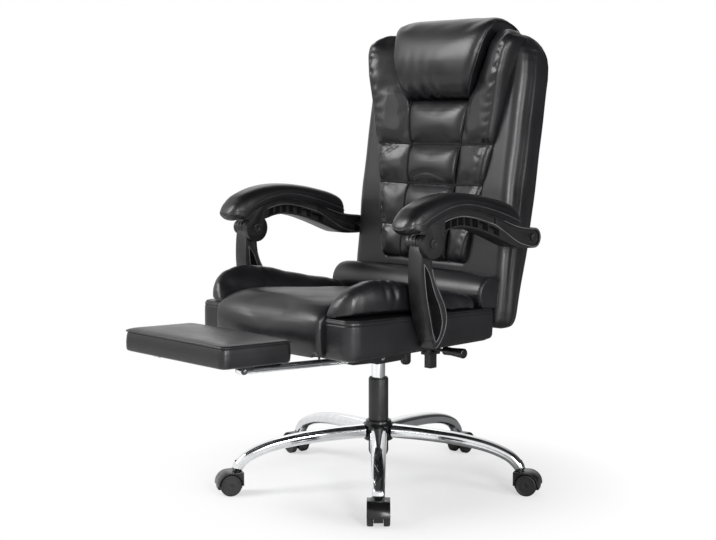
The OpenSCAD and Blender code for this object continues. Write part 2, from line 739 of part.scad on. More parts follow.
// Upholstered block: crowned top, welt at the upper edge, sides slightly drawn in
module footrest_pad() {
  rows = [[5, 0], [0.8, 0.06], [0, 0.3], [1, 0.62], [2.5, 0.86], [0.5, 0.93], [3, 1], [16, 1.09],
    [45, 1.15], [78, 1.17]];
  color(LEATHER) difference() {
    on_footrest() translate([0, foot_behind - foot_l / 2, foot_rise])
      loft([for (row = rows) [for (p = round_rect(foot_w / 2 - row[0], foot_l / 2 - row[0],
        max(4, 14 - row[0] / 2), 6)) [p[0], p[1], foot_t * row[1]]]]);
    on_footrest() translate([0, foot_behind - foot_l / 2, foot_rise - 1])
      linear_extrude(foot_board_t + 1 + soft_gap)
        polygon(round_rect(foot_w / 2 - 8 + soft_gap, foot_l / 2 - 8 + soft_gap, 8, 5));
  }
}

// Steel cheeks from the seat board back to the recline hinges
module recline_brackets() {
  h = recline_hinge;
  cheek = concat([[24, plate_z - 9], [24, plate_z + 1], [seat_rear, plate_z + 1],
    [h[0] - 16, h[1] - 11]], arc(h, 11, 120, -75, 10), [[seat_rear + 10, plate_z - 9]]);
  color(PLASTIC) for (side = SIDES) difference() {
    union() {
      for (x = [-1, 1]) side_plate(cheek, side * hinge_x + x * 10 - sheet / 2, sheet);
      translate([side * hinge_x - 19, 24, plate_z]) cube([38, 100, plate_t]);
    }
    bar_x(h, hinge_d / 2 + seat_gap, side * hinge_x - 30, 60);
  }
}

// Hinge pins, each with the two friction discs that hold the back where it is locked
module recline_hinge_pins() {
  h = recline_hinge;
  inner = bar_t / 2 + 0.3;
  outer = 10 - sheet / 2 - 0.3;
  color(STEEL) for (side = SIDES) {
    bar_x(h, hinge_d / 2, side * hinge_x - 14, 28);
    for (x = [inner, -outer]) difference() {
      bar_x(h, 10, side * hinge_x + x, outer - inner);
      bar_x(h, hinge_d / 2 + seat_gap, side * hinge_x - 20, 40);
    }
  }
}

// Housing of the recline lock, with the spring box that hangs below it
module lock_housing() {
  color(PLASTIC) difference() {
    union() {
      translate([lock_x - 18, lock_y - 28, plate_z]) cube([36, 56, plate_t]);
      translate([lock_x - 13, lock_y - 20, lock_lever_z - 14])
        cube([26, 40, plate_z - lock_lever_z + 15]);
      translate([lock_x - 10, lock_y - 11, knob_bottom + 9]) cube([20, 22, 34]);
    }
    translate([lock_x - 8, lock_y - 10, lock_lever_z - 7]) cube([40, 20, 26]);
    translate([lock_x, lock_y - 30, lock_lever_z]) rotate([-90, 0, 0])
      cylinder(r = 3 + seat_gap, h = 60, $fn = 32);
  }
  // Cross pin on which the lever turns
  color(STEEL) translate([lock_x, lock_y - 20, lock_lever_z]) rotate([-90, 0, 0])
    cylinder(r = 3, h = 40, $fn = 32);
}

// Flat lever from the lock out to its grip
module recline_lever() {
  l = lock_reach - grip_l + 12 - lock_x;
  color(PLASTIC) difference() {
    union() {
      translate([lock_x, lock_y - 8, lock_lever_z - 2.5]) cube([l, 16, 5]);
      translate([lock_x, lock_y - 8, lock_lever_z]) rotate([-90, 0, 0])
        cylinder(r = 6, h = 16);
    }
    translate([lock_x, lock_y - 30, lock_lever_z]) rotate([-90, 0, 0])
      cylinder(r = 3 + run, h = 60, $fn = 32);
  }
}

module recline_lever_grip() {
  color(PLASTIC) difference() {
    translate([lock_reach - grip_l, lock_y, lock_lever_z]) grip();
    translate([lock_reach - grip_l - 1, lock_y - 8 - seat_gap, lock_lever_z - 2.5 - seat_gap])
      cube([13 + seat_gap, 16 + 2 * seat_gap, 5 + 2 * seat_gap]);
  }
}

// Pivot bolts of the struts: thread in the seat box, spacer, shank and flat head
module strut_bolts() {
  r = pivot_d / 2;
  color(STEEL) for (side = SIDES) {
    face = side * seat_w / 2;
    near = side > 0 ? arm_x + strut_face - strut_w : -arm_x + strut_face;
    far = side > 0 ? arm_x + strut_face : -arm_x + strut_face - strut_w;
    a = side > 0 ? face + soft_gap : near - boss_depth + 0.3;
    b = side > 0 ? near - 0.3 : face - soft_gap;
    c = side > 0 ? face - 32 : face + 32;
    // The head sits on the strut's boss on one side and on its back face on the other
    head = side > 0 ? far - boss_depth + 0.3 : far - 3.3;
    bar_x(strut_pivot, r + 3.5, a, b - a);
    bar_x(strut_pivot, r, min(c, head), max(c, head) - min(c, head));
    bar_x(strut_pivot, r + 3, head, 3);
  }
}

// Outline of a strut in [y, z - seat_z]: upright above, belly behind, pointed foot
function strut_outline() = concat(
  smooth([[-164, 240], [-168, 222], [-170, 175], [-165, 121], [-155, 75], [-138, 37],
    [-128, 13]], 4),
  smooth([[-122, 12], [-112, 17], [-95, 38], [-85, 70], [-89, 100], [-107, 135],
    [-124, 165], [-132, 190], [-134, 215], [-130, 240]], 4));
function strut_pocket() = smooth([[-160, 203], [-156, 159], [-149, 119], [-139, 78],
  [-124, 30], [-110, 40], [-101, 66], [-107, 98], [-127, 140], [-143, 180], [-160, 203]], 4);

module strut(side) {
  x = side * arm_x + strut_face - strut_w;
  lift = [0, seat_z];
  color(PLASTIC) difference() {
    union() {
      difference() {
        side_plate([for (p = strut_outline()) p + lift], x, strut_w);
        side_plate([for (p = strut_pocket()) p + lift], x + 9, strut_w);
      }
      // Boss of the lower pivot inside the pocket
      bar_x(strut_pivot, pivot_d / 2 + 4, x, strut_w - boss_depth);
      barrel(side * arm_x + strut_face - barrel_l);
    }
    bar_x(strut_pivot, pivot_d / 2 + 4, x + strut_w - boss_depth, 20);
    bar_x(strut_pivot, pivot_d / 2 + run, x - 1, strut_w + 2);
    bar_x(arm_pivot, pivot_d / 2 + 0.15, side * arm_x + strut_face - barrel_l - 1, barrel_l + 2);
  }
}

// Ribbed barrel at the head of a strut, along X from x0
module barrel(x0) {
  step = barrel_l / barrel_turns;
  translate([x0, arm_pivot[0], arm_pivot[1]]) rotate([0, 90, 0]) rotate_extrude()
    polygon(concat([[0, 0]], [for (i = [0:barrel_turns - 1]) each [
      [barrel_r - 1.6, i * step], [barrel_r, i * step + 1], [barrel_r, (i + 1) * step - 2.5],
      [barrel_r - 1.6, (i + 1) * step - 1.5]]], [[barrel_r - 1.6, barrel_l], [0, barrel_l]]));
}

// Upper line of an armrest frame, on which its pad lies, and its arch, in [y, z - seat_z]
function frame_upper() = smooth([[-192, 272], [-170, 286], [-146, 297], [-93, 315], [-34, 319],
  [53, 299], [140, 271], [rear_bolt[0] - 4, 263]], 3);
function frame_arch() = smooth([[-192, 270], [-160, 268], [-120, 269], [-91, 276], [-53, 278],
  [2, 268], [44, 255], [85, 240], [118, 227], [148, 218], [rear_bolt[0] - 6, 215.5]], 3);
// A point of the frame's face at y, at a share t of the way from the arch to the upper line
function frame_at(y, t) = [y, (1 - t) * lookup(y, frame_arch()) + t * lookup(y, frame_upper())];
function band(t0, t1, y0, y1, n) = concat(
  [for (k = [0:n]) frame_at(y0 + (y1 - y0) * k / n, t0)],
  [for (k = [n:-1:0]) frame_at(y0 + (y1 - y0) * k / n, t1)]);

// Frame: arched beam with a disc over the barrel, a ribbed hollow and a plain channel
module armrest(side) {
  u = side * arm_x;
  lift = [0, seat_z];
  end = arc([rear_bolt[0], rear_bolt[1] - seat_z], 23.6, 85, -85, 12);
  ribs = [-112, -92, -71, -49, -26, 0, 34, 74];
  color(PLASTIC) difference() {
    union() {
      side_plate([for (p = concat(frame_upper(), end, flip(frame_arch()))) p + lift],
        u + frame_in, frame_out - frame_in);
      bar_x(arm_pivot, disc_r, u + strut_face + 0.3, disc_t);
    }
    // Room for the barrel under the beam
    bar_x(arm_pivot, barrel_r + 2.5, u + frame_in - 1, strut_face - frame_in + 1.3);
    // Plain channel from the front to the rear eye, on both faces
    for (x = [frame_out - 5, frame_in - 1])
      side_plate([for (p = band(0.62, 0.9, -118, 60, 16)) p + lift], u + x, 6);
    for (x = [frame_out - 5, frame_in - 1]) side_plate([for (p = concat(
        [for (y = [64:14:190]) frame_at(y, 0.62 - 0.5 * (y - 64) / 126)],
        arc([rear_bolt[0], rear_bolt[1] - seat_z], 18.5, -75, 75, 8),
        [for (y = [190:-14:64]) frame_at(y, 0.9)])) p + lift], u + x, 6);
    // Ribbed hollow along the arch, on both faces
    for (i = [0:len(ribs) - 2], x = [frame_out - 16, frame_in - 1])
      side_plate([for (p = band(0.1, 0.52 - 0.04 * max(0, i - 4), ribs[i] + 1.3, ribs[i + 1] - 1.3,
        4)) p + lift], u + x, 17);
    bar_x(arm_pivot, pivot_d / 2 + seat_gap, u, 40);
    bar_x(rear_bolt, pivot_d / 2 + run, u + frame_in - 1, 80);
  }
}

// Pivot bolt of one armrest: fast in the disc, turning in the barrel
module arm_pivot_bolt(side) {
  u = side * arm_x;
  r = pivot_d / 2;
  color(STEEL) difference() {
    union() {
      bar_x(arm_pivot, r, u + strut_face - barrel_l + 2, barrel_l - 2 + 0.3 + disc_t + 1);
      bar_x(arm_pivot, 11, u + frame_out + seat_gap, 2.5);
    }
    bar_x(arm_pivot, 6.5, u + frame_out + 1.2, 3);
  }
}

// Bolts of the armrests' rear ends: spacer on the shell's side, shank and head
module rear_arm_bolts() {
  r = pivot_d / 2;
  face = back_w / 2;
  color(STEEL) for (side = SIDES) {
    u = side * arm_x;
    near = side > 0 ? u + frame_in : u + frame_out;
    far = side > 0 ? u + frame_out - 5 : u + frame_in + 5;
    a = side > 0 ? face + soft_gap : near - 4.7;
    b = side > 0 ? near - 0.3 : -face - soft_gap;
    c = side * (face - 32);
    head = side > 0 ? far + 0.3 : far - 0.3 - 3;
    bar_x(rear_bolt, r + 4, a, b - a);
    bar_x(rear_bolt, r, min(c, head), max(c, head) - min(c, head));
    bar_x(rear_bolt, r + 4, head, 3);
  }
}

// Upper line of an arm pad in [y, z - seat_z], and the share of its full width there
function pad_crest() = [[-221, 284, 0.3], [-214, 305, 0.66], [-202, 322, 0.86], [-180, 340, 0.97],
  [-132, 354, 1], [-83, 358, 1], [-34, 357, 1], [19, 350, 1], [71, 339, 0.98], [115, 327, 0.93],
  [145, 314, 0.84], [158, 302, 0.66], [163, 288, 0.45]];

// Pad of an armrest: full above the frame, overhanging it, both ends rounded down
module arm_pad(side) {
  u = side * arm_x + frame_out - arm_pad_w / 2 + 5;
  low = [[-221, 280], [-214, 275], [-202, 272.5], [-193, 272.6]];
  under = concat([for (p = low) p], [for (p = frame_upper()) if (p[0] > -191) p + [0, soft_gap]]);
  color(LEATHER) difference() {
    translate([0, 0, seat_z]) loft([for (c = pad_crest()) let (w = arm_pad_w / 2 * c[2],
        foot = lookup(c[0], under) - 3, h = c[1] - foot)
      [for (k = [0:15]) let (a = 180 * k / 15)
        [u - w * spow(cos(a), 0.55), c[0], foot + h * spow(sin(a), 0.62)]]]);
    side_plate([for (p = concat([[-193, 240]], [[-193, 272.6 + soft_gap]],
      [for (p = frame_upper()) if (p[0] > -190) p + [0, soft_gap]], [[196, 240]])) p + [0, seat_z]],
      u - 60, 120);
  }
}

// Steel bars of the back, each with its eye on a recline hinge
module back_bars() {
  h = recline_hinge;
  rise = 28;
  color(PLASTIC) for (side = SIDES) difference() {
    union() {
      on_back() translate([side * hinge_x - bar_t / 2, bar_d, rise])
        cube([bar_t, bar_w, bar_l - rise]);
      bar_x(h, 11, side * hinge_x - bar_t / 2, bar_t);
      on_back() side_plate([[bar_d + 8, rise + 20], [bar_d + bar_w, rise + 20],
        [bar_d + bar_w + 26, 24], [bar_d + bar_w + 12, 8]], side * hinge_x - bar_t / 2, bar_t);
    }
    bar_x(h, hinge_d / 2 + run, side * hinge_x - 30, 60);
  }
}

// Outline of the cushions: half width at height h, straight from the waist to the shoulder
function wing_x(h) = back_w / 2 - 117 + 0.187 * (h - 146);
function column_x(h) = lookup(h, [[seams[0], 74], [seams[2], 78], [seams[3], 84],
  [seams[4], 101]]);
function pillow_x(h) = pillow_low_w + (pillow_top_w - pillow_low_w) * lookup(h - pillow_foot,
  [[3, 0], [19, 0.2], [34, 0.33], [54, 0.46], [74, 0.6], [94, 0.71], [134, 0.86], [174, 1]]);

module back_board() {
  color(PLY) on_back() translate([0, board_d, 0]) rotate([-90, 0, 0]) mirror([0, 1, 0])
    linear_extrude(back_board_t) polygon([[-wing_x(160) + 10, 160], [wing_x(160) - 10, 160],
      [wing_x(board_top) - 10, board_top - 30], [wing_x(board_top) - 50, board_top],
      [-wing_x(board_top) + 50, board_top], [-wing_x(board_top) + 10, board_top - 30]]);
}

// Shell of the back: rings of front, side and bulged rear, drawn in at foot and shoulder
function shell_front(h) = lookup(h, [[0, 22], [139, 11], [203, 8], [280, 2], [330, 0], [900, 0]]);
function shell_rear(h) = lookup(h, [[0, 88], [30, 96], [200, back_t - 4], [400, back_t],
  [900, back_t]]);
module back_shell() {
  hw = back_w / 2;
  // [height, drawn in at the sides, at the front, at the rear]
  rows = [[0, 16, 10, 10], [6, 6, 3, 3], [16, 1, 0, 0], [60, 0, 0, 0], [139, 0, 0, 0],
    [203, 0, 0, 0], [280, 0, 0, 0], [330, 0, 0, 0], [500, 0, 0, 0], [back_l - 90, 0, 0, 0],
    [back_l - 60, 2, 0, 4], [back_l - 36, 9, 1, 11], [back_l - 18, 20, 5, 20],
    [back_l - 6, 34, 11, 29], [back_l, 48, 18, 37]];
  color(LEATHER) difference() {
    on_back() loft([for (row = rows) let (h = row[0], f = shell_front(h) + row[2],
        r = shell_rear(h) - row[3], w = hw - row[1], e = min(24, 0.46 * (r - f)),
        g = min(30, 0.46 * (r - f)))
      concat(
        [for (k = [0:4]) let (a = 180 + 22.5 * k) [-w + g + g * cos(a), f + g + g * sin(a), h]],
        [for (k = [0:4]) let (a = -90 + 22.5 * k) [w - g + g * cos(a), f + g + g * sin(a), h]],
        [for (k = [0:4]) let (a = 22.5 * k) [w - e + e * cos(a), r - e + e * sin(a), h]],
        [for (k = [1:5]) let (x = (w - e) * (1 - k / 3)) [x, r + rear_crown
          * (1 - pow(x / (w - e), 2)), h]],
        [for (k = [0:4]) let (a = 90 + 22.5 * k) [-w + e + e * cos(a), r - e + e * sin(a), h]])]);
    // Bed of the cushions, then the deeper bed of the board
    on_back() loft([for (h = [145, back_l, back_l + 60]) let (x = wing_x(min(h, back_l)) + soft_gap)
      [[-x, -60, h], [x, -60, h], [x, board_d, h], [-x, board_d, h]]]);
    on_back() translate([0, cushion_d - 1, 0]) rotate([-90, 0, 0]) mirror([0, 1, 0])
      linear_extrude(back_board_t + 1 + soft_gap + seat_gap) polygon([[-wing_x(160) + 9.6, 159.6],
        [wing_x(160) - 9.6, 159.6], [wing_x(board_top) - 9.6, board_top - 30],
        [wing_x(board_top) - 49, board_top + 0.6], [-wing_x(board_top) + 49, board_top + 0.6],
        [-wing_x(board_top) + 9.6, board_top - 30]]);
    for (side = SIDES) {
      // Slot of the back bar, and the notch of the hinge below it
      on_back() translate([side * hinge_x - bar_t / 2 - soft_gap, bar_d - 1, 20])
        cube([bar_t + 2 * soft_gap, bar_w + 1 + soft_gap, bar_l + soft_gap - 20]);
      on_back() translate([side * hinge_x - 15, 62, -10]) cube([30, 90, 60]);
      bar_x(rear_bolt, pivot_d / 2 + soft_gap, side > 0 ? hw - 34 : -hw - 2, 36);
    }
  }
}

// Share of a channel's swell at height h: full between two seams, nothing on them
function swell(h, k) = let (a = seams[k], b = seams[k + 1], t = (h - a) / (b - a))
  pow(max(0, 1 - pow(abs(2 * t - 1), 2.6)), 0.6);
CHANNEL_STEPS = [0, 0.06, 0.2, 0.5, 0.8, 0.94];
function channel_rows() = concat(
  [for (k = [0:3], t = CHANNEL_STEPS)
    let (h = seams[k] + (seams[k + 1] - seams[k]) * t) [h, max(0.04, swell(h, k))]],
  [[seams[4], 0.04]]);

// Centre cushion: four channels between sewn seams, swelling forward
module back_cushion() {
  valley = 13;
  color(LEATHER) on_back() loft([for (row = channel_rows()) let (h = row[0],
      w = column_x(h) - soft_gap / 2, front = valley - channel_swell * row[1])
    concat(
      [for (s = [-1, -0.94, -0.75, -0.4, 0, 0.4, 0.75, 0.94, 1])
        [w * s, valley + (front - valley) * pow(1 - pow(abs(s), 4), 0.7), h]],
      [[w, cushion_d, h], [-w, cushion_d, h]])]);
}

// Depth of a wing's ridge at height h
function ridge(h) = lookup(h / back_l, [[0.2, -8], [0.48, -13], [0.58, -17], [0.65, -24],
  [0.71, -29], [0.765, -35], [0.81, -41], [0.85, -46], [0.92, -47], [0.98, -36], [1, -30]]);

// Wing beside the centre cushion and the pillow, highest at a ridge near its outer edge
module back_wing(side) {
  valley = 13;
  top = back_l - 2;
  shoulder = back_l - 26;
  rows = concat(
    [for (row = channel_rows()) if (row[0] <= seams[3]) [row[0], 0.55 + 0.45 * row[1]]],
    [[seams[3] + 7, 0.8], [seams[3] + 20, 0.95], [seams[3] + 45, 1], [seams[4], 1],
     [pillow_foot, 1], [pillow_foot + 19, 1], [pillow_foot + 54, 1], [shoulder - 40, 1],
     [shoulder - 8, 1], [shoulder + 8, 0.88], [shoulder + 18, 0.7], [top, 0.4]]);
  color(LEATHER) on_back() loft([for (i = [0:len(rows) - 1]) let (h = rows[i][0],
      full = i == 0 ? 0.1 : i == 1 ? 0.6 : rows[i][1],
      a = h <= seams[4] ? column_x(h) + soft_gap / 2 : max(column_x(seams[4]) + soft_gap / 2,
        pillow_x(h) + soft_gap),
      b = wing_x(h) - max(0, h - shoulder) * 0.7, peak = (ridge(h) - valley) * full)
    [for (p = concat(
      [for (s = [0, 0.08, 0.25, 0.5, 0.75, 1])
        [a + (b - 9 - a) * s, valley + peak * (1 - pow(1 - s, 1.8))]],
      [[b - 4, valley + peak * 0.95], [b - 1, valley + peak * 0.8], [b, valley + peak * 0.55]],
      [[b, cushion_d], [a, cushion_d]])) [side * p[0], p[1], h]]]);
}

// Head pillow: trapezoid that swells forward and laps over the shell's top
module head_pillow() {
  // [height, front depth in the middle, rear depth, share of the width]
  foot = pillow_foot;
  rows = [[foot, 8, cushion_d, 0.97], [foot + 3, -14, cushion_d, 1], [foot + 19, -31, cushion_d, 1],
    [foot + 54, -46, cushion_d, 1], [foot + 99, -50, cushion_d, 1], [foot + 139, -42, cushion_d, 1],
    [back_l + soft_gap - 0.01, -31, cushion_d, 1], [back_l + soft_gap, -31, 92, 1],
    [back_l + 14, -25, 95, 1], [back_l + 26, -14, 88, 0.985], [back_l + 35, 2, 74, 0.95],
    [back_l + 40, 22, 56, 0.88]];
  color(LEATHER) on_back() loft([for (row = rows) let (h = row[0], w = pillow_x(h) * row[3],
      mid = (max(row[1], 6) + row[2]) / 2)
    concat(
      [for (s = [-1, -0.93, -0.78, -0.45, 0, 0.45, 0.78, 0.93, 1])
        [w * s, row[1] + (mid - row[1]) * pow(abs(s), 4.5), h]],
      [[w * 0.985, row[2], h], [-w * 0.985, row[2], h]])]);
}

for (i = [1:CASTERS]) {
  at_caster(i) caster_hood();
  at_caster(i) caster_wheels();
}
base_legs();
base_hub();
column_tube();
guide_bush();
thrust_bearing();
piston_rod();
gas_cylinder();
valve_pin();
mechanism_housing();
tilt_pin();
tension_spring();
tension_knob();
height_lever();
height_lever_grip();
tilt_bracket();
seat_bolts();
seat_board();
seat_box();
seat_pad();
seat_bolster(1);  // seat_bolster_left
seat_bolster(-1);  // seat_bolster_right
lumbar_roll();
footrest_guides();
recline_brackets();
recline_hinge_pins();
lock_housing();
recline_lever();
recline_lever_grip();
strut_bolts();
back_bars();
back_board();
back_shell();
back_cushion();
back_wing(1);  // back_wing_left
back_wing(-1);  // back_wing_right
head_pillow();
rear_arm_bolts();
strut(1);  // strut_left
strut(-1);  // strut_right
armrest(1);  // armrest_left
armrest(-1);  // armrest_right
arm_pad(1);  // arm_pad_left
arm_pad(-1);  // arm_pad_right
arm_pivot_bolt(1);  // arm_pivot_left
arm_pivot_bolt(-1);  // arm_pivot_right
footrest_rails();
footrest_hinges();
footrest_pins();
footrest_board();
footrest_pad();
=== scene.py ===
"""Dresses the reclining office chair: cushions, moulded arms, chrome base and studio."""

import json
import logging
import math
from dataclasses import dataclass, field
from enum import Enum
from typing import ClassVar, Iterable, Optional, Sequence, Union

import bmesh
import bpy
import numpy as np
from numpy.typing import NDArray
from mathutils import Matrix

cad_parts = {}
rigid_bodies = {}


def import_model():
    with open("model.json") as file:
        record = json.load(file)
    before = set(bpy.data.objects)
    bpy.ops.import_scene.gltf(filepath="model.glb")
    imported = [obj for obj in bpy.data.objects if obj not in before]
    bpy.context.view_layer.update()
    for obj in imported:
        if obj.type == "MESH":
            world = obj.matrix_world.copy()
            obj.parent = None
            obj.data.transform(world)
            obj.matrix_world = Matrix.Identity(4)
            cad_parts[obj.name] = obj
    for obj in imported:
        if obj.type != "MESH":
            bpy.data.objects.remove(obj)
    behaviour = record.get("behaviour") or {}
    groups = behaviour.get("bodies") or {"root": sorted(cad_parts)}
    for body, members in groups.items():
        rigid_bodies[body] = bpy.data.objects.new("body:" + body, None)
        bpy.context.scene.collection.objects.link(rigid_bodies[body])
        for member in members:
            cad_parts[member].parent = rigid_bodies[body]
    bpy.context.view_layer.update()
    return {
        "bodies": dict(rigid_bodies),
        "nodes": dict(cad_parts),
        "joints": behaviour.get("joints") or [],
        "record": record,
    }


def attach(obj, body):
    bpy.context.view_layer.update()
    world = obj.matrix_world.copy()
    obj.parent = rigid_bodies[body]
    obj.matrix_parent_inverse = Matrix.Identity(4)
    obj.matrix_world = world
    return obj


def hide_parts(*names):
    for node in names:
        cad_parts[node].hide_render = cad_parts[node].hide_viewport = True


Array = NDArray[np.float64]
Settings = dict[Union[str, int], object]
Tree = bpy.types.NodeTree
Piece = bpy.types.Object
Mesh = bpy.types.Mesh
Material = bpy.types.Material
log = logging.getLogger("chair")

MM = 0.001
SEAT_Z = 366.0
BACK_TILT = math.radians(9.37)
BACK_Y, BACK_Z = 125.8, 392.0
SIDES = (("left", 1), ("right", -1))


class Soft(Enum):
    """How full a padded piece is."""

    PLUMP = 0.7
    FIRM = 0.9


# Shapes as arrays


def linear(colour: str) -> tuple[float, float, float, float]:
    """Turns an sRGB hex colour into linear light.

    Args:
        colour: The colour as "#rrggbb".

    Returns:
        Red, green, blue and alpha.
    """
    srgb = np.array([int(colour[i:i + 2], 16) for i in (1, 3, 5)]) / 255.0
    rgb = np.where(srgb <= 0.04045, srgb / 12.92, ((srgb + 0.055) / 1.055) ** 2.4)
    return float(rgb[0]), float(rgb[1]), float(rgb[2]), 1.0


def power(value: Array, exponent: float) -> Array:
    """Signed power, which squares a circle up as the exponent falls under 1."""
    return np.sign(value) * np.abs(value) ** exponent


def ramp(value: Union[Array, float], start: Union[Array, float], over: float,
         least: float = 0.0) -> Array:
    """Share that climbs from least at the start to 1 over a distance, and stays there."""
    return np.clip((value - start) / over, least, 1.0)


def fade(distance: Array, width: float) -> Array:
    """Share that falls from 1 as a bell curve of a distance."""
    return np.exp(-(distance / width) ** 2)


def dome(s: Array, corner: float, root: float) -> Array:
    """Fullness across a cushion: 1 amid the edges at -1 and 1, and 0 on them."""
    return np.clip(1.0 - np.abs(s) ** corner, 0.0, 1.0) ** root


def stations(x: Array, y: Array, z: Array) -> Array:
    """Rings (m, n, 3) from x and z (m, n) at one place y (m, 1) for each ring."""
    return np.stack([x, np.repeat(y, x.shape[1], 1), z], -1)


def circle(count: int) -> Array:
    """Angles spread evenly round a circle, in radians."""
    return np.linspace(0.0, 2 * math.pi, count, endpoint=False)


def bunched(count: int) -> Array:
    """Places from -1 to 1 that crowd towards both ends."""
    return np.sin(np.linspace(-math.pi / 2, math.pi / 2, count))


def lookup(at: Union[Array, float], table: Sequence[tuple[float, float]]) -> Array:
    """Reads a curve given as pairs of place and value.

    Args:
        at: Places to read.
        table: Pairs in rising order of place.

    Returns:
        The values there, on straight lines between the pairs.
    """
    pairs = np.asarray(table, float)
    return np.interp(at, pairs[:, 0], pairs[:, 1])


def spread(line: Array, count: int) -> Array:
    """Spreads points evenly along a line.

    Args:
        line: Points (k, dims) of the line.
        count: How many points to return.

    Returns:
        Points (count, dims) at equal distances along the line.
    """
    steps = np.linalg.norm(np.diff(line, axis=0), axis=1)
    run = np.concatenate([[0.0], np.cumsum(steps)])
    at = np.linspace(0.0, run[-1], count)
    return np.stack([np.interp(at, run, line[:, k]) for k in range(line.shape[1])], 1)


def curve(points: Sequence[Sequence[float]], count: int, closed: bool = False) -> Array:
    """Catmull-Rom curve through a few points, its samples evenly spread.

    Args:
        points: The points it passes through.
        count: How many samples to return.
        closed: Whether the last point runs on into the first.

    Returns:
        Samples (count, dims), without a repeated last one on a closed curve.
    """
    p = np.asarray(points, float)
    if closed:
        p = np.concatenate([p[-1:], p, p[:2]])
    else:
        p = np.concatenate([p[:1], p, p[-1:]])
    t = np.linspace(0.0, 1.0, 12, endpoint=False)[None, :, None]
    a, b, c, d = (p[k:len(p) - 3 + k][:, None] for k in range(4))
    dense = 0.5 * (2 * b + (c - a) * t + (2 * a - 5 * b + 4 * c - d) * t ** 2
                   + (3 * b - a - 3 * c + d) * t ** 3)
    dense = np.concatenate([dense.reshape(-1, p.shape[1]), p[-2:-1]])
    return spread(dense, count + 1)[:-1] if closed else spread(dense, count)


def on_back(x: Array, depth: Array, height: Array) -> Array:
    """Places points of the back's own frame, which leans 9.37 degrees to the rear.

    Args:
        x: Across the chair.
        depth: Rearwards, square to the back.
        height: Up along the back.

    Returns:
        Points (..., 3) in millimetres.
    """
    c, s = math.cos(BACK_TILT), math.sin(BACK_TILT)
    x, depth, height = np.broadcast_arrays(x, depth, height)
    return np.stack([x, BACK_Y + depth * c + height * s, BACK_Z - depth * s + height * c], -1)


def box_top(y: Union[Array, float]) -> Array:
    """Height of the seat box's top face, which falls 17 mm from front to rear."""
    return SEAT_Z + 91.0 - 17.0 / 468.0 * (np.asarray(y) + 331.0)


def beside(x: float, line: Array) -> Array:
    """Places a line (k, 2) of depth and height over the seat's foot at one x."""
    return np.column_stack([np.full(len(line), x), line[:, 0], line[:, 1] + SEAT_Z])


def swell(height: Array, seams: Sequence[float]) -> Array:
    """Share of a sewn channel's fullness: 1 amid two seams and 0 on them.

    Args:
        height: Places along the back.
        seams: Heights of the seams.

    Returns:
        1 - |2t - 1| ** 2.6 to the power 0.6, with t the place between two seams.
    """
    marks = np.asarray(seams, float)
    k = np.clip(np.searchsorted(marks, height, side="right") - 1, 0, len(marks) - 2)
    t = ramp(height, marks[k], marks[k + 1] - marks[k])
    return dome(2.0 * t - 1.0, 2.6, 0.6)


# Meshes


def make_mesh(name: str, points: Array, faces: list[list[int]]) -> Mesh:
    """Makes a smooth-shaded mesh with its faces turned outwards.

    Args:
        name: The mesh's name.
        points: Points (k, 3) in millimetres.
        faces: Corner numbers of each face.

    Returns:
        The mesh, in metres.
    """
    mesh = bpy.data.meshes.new(name)
    mesh.from_pydata((points * MM).tolist(), [], faces)
    mesh.update()
    mesh.calc_loop_triangles()
    corners = np.empty(len(mesh.loop_triangles) * 3, np.int32)
    mesh.loop_triangles.foreach_get("vertices", corners)
    a, b, c = points[corners.reshape(-1, 3)].transpose(1, 0, 2)
    if np.einsum("ij,ij->", a, np.cross(b, c)) < 0.0:
        mesh.flip_normals()
    mesh.polygons.foreach_set("use_smooth", np.ones(len(mesh.polygons), bool))
    return mesh


def cap_rows(ring: Array, away: Array, rows: int, bulge: float) -> Array:
    """Rings that close a ring towards its middle.

    Each ring is the first one shrunk towards its mean by t, and moved away from the
    skin by bulge * (1 - (1 - t) ** 2).

    Args:
        ring: The ring (n, 3) to close.
        away: Unit vector out of the skin's end.
        rows: How many rings to add.
        bulge: How far the middle stands out, in millimetres.

    Returns:
        Rings (rows + 1, n, 3), the last one a single place.
    """
    t = np.linspace(0.0, 1.0, rows + 2)[1:, None, None]
    centre = ring.mean(axis=0)
    return ring * (1 - t) + centre * t + away * bulge * (1 - (1 - t) ** 2)


def skin(name: str, rings: Array, rows: int = 5, bulge: float = 0.0) -> Mesh:
    """Joins rings of points into a closed skin, with a pole at each end.

    Args:
        name: The mesh's name.
        rings: Rings (m, n, 3) in millimetres.
        rows: Rings added at each end between the last ring and the pole.
        bulge: How far each end stands out.

    Returns:
        The closed mesh.
    """
    ends = [rings[0] - rings[1], rings[-1] - rings[-2]]
    ways = [e.mean(axis=0) / max(float(np.linalg.norm(e.mean(axis=0))), 1e-9) for e in ends]
    first = cap_rows(rings[0], ways[0], rows, bulge)
    last = cap_rows(rings[-1], ways[1], rows, bulge)
    grid = np.concatenate([first[:-1][::-1], rings, last[:-1]])
    m, n = grid.shape[:2]
    points = np.concatenate([grid.reshape(-1, 3), first[-1][:1], last[-1][:1]])
    i, j = np.arange(m - 1)[:, None] * n, np.arange(n)[None, :]
    k = (j + 1) % n
    quads = np.stack([i + j, i + k, i + n + k, i + n + j], -1).reshape(-1, 4)
    j, k = j[0], k[0]
    low = np.stack([np.full(n, m * n), k, j], -1)
    high = np.stack([np.full(n, m * n + 1), (m - 1) * n + j, (m - 1) * n + k], -1)
    return make_mesh(name, points, quads.tolist() + low.tolist() + high.tolist())


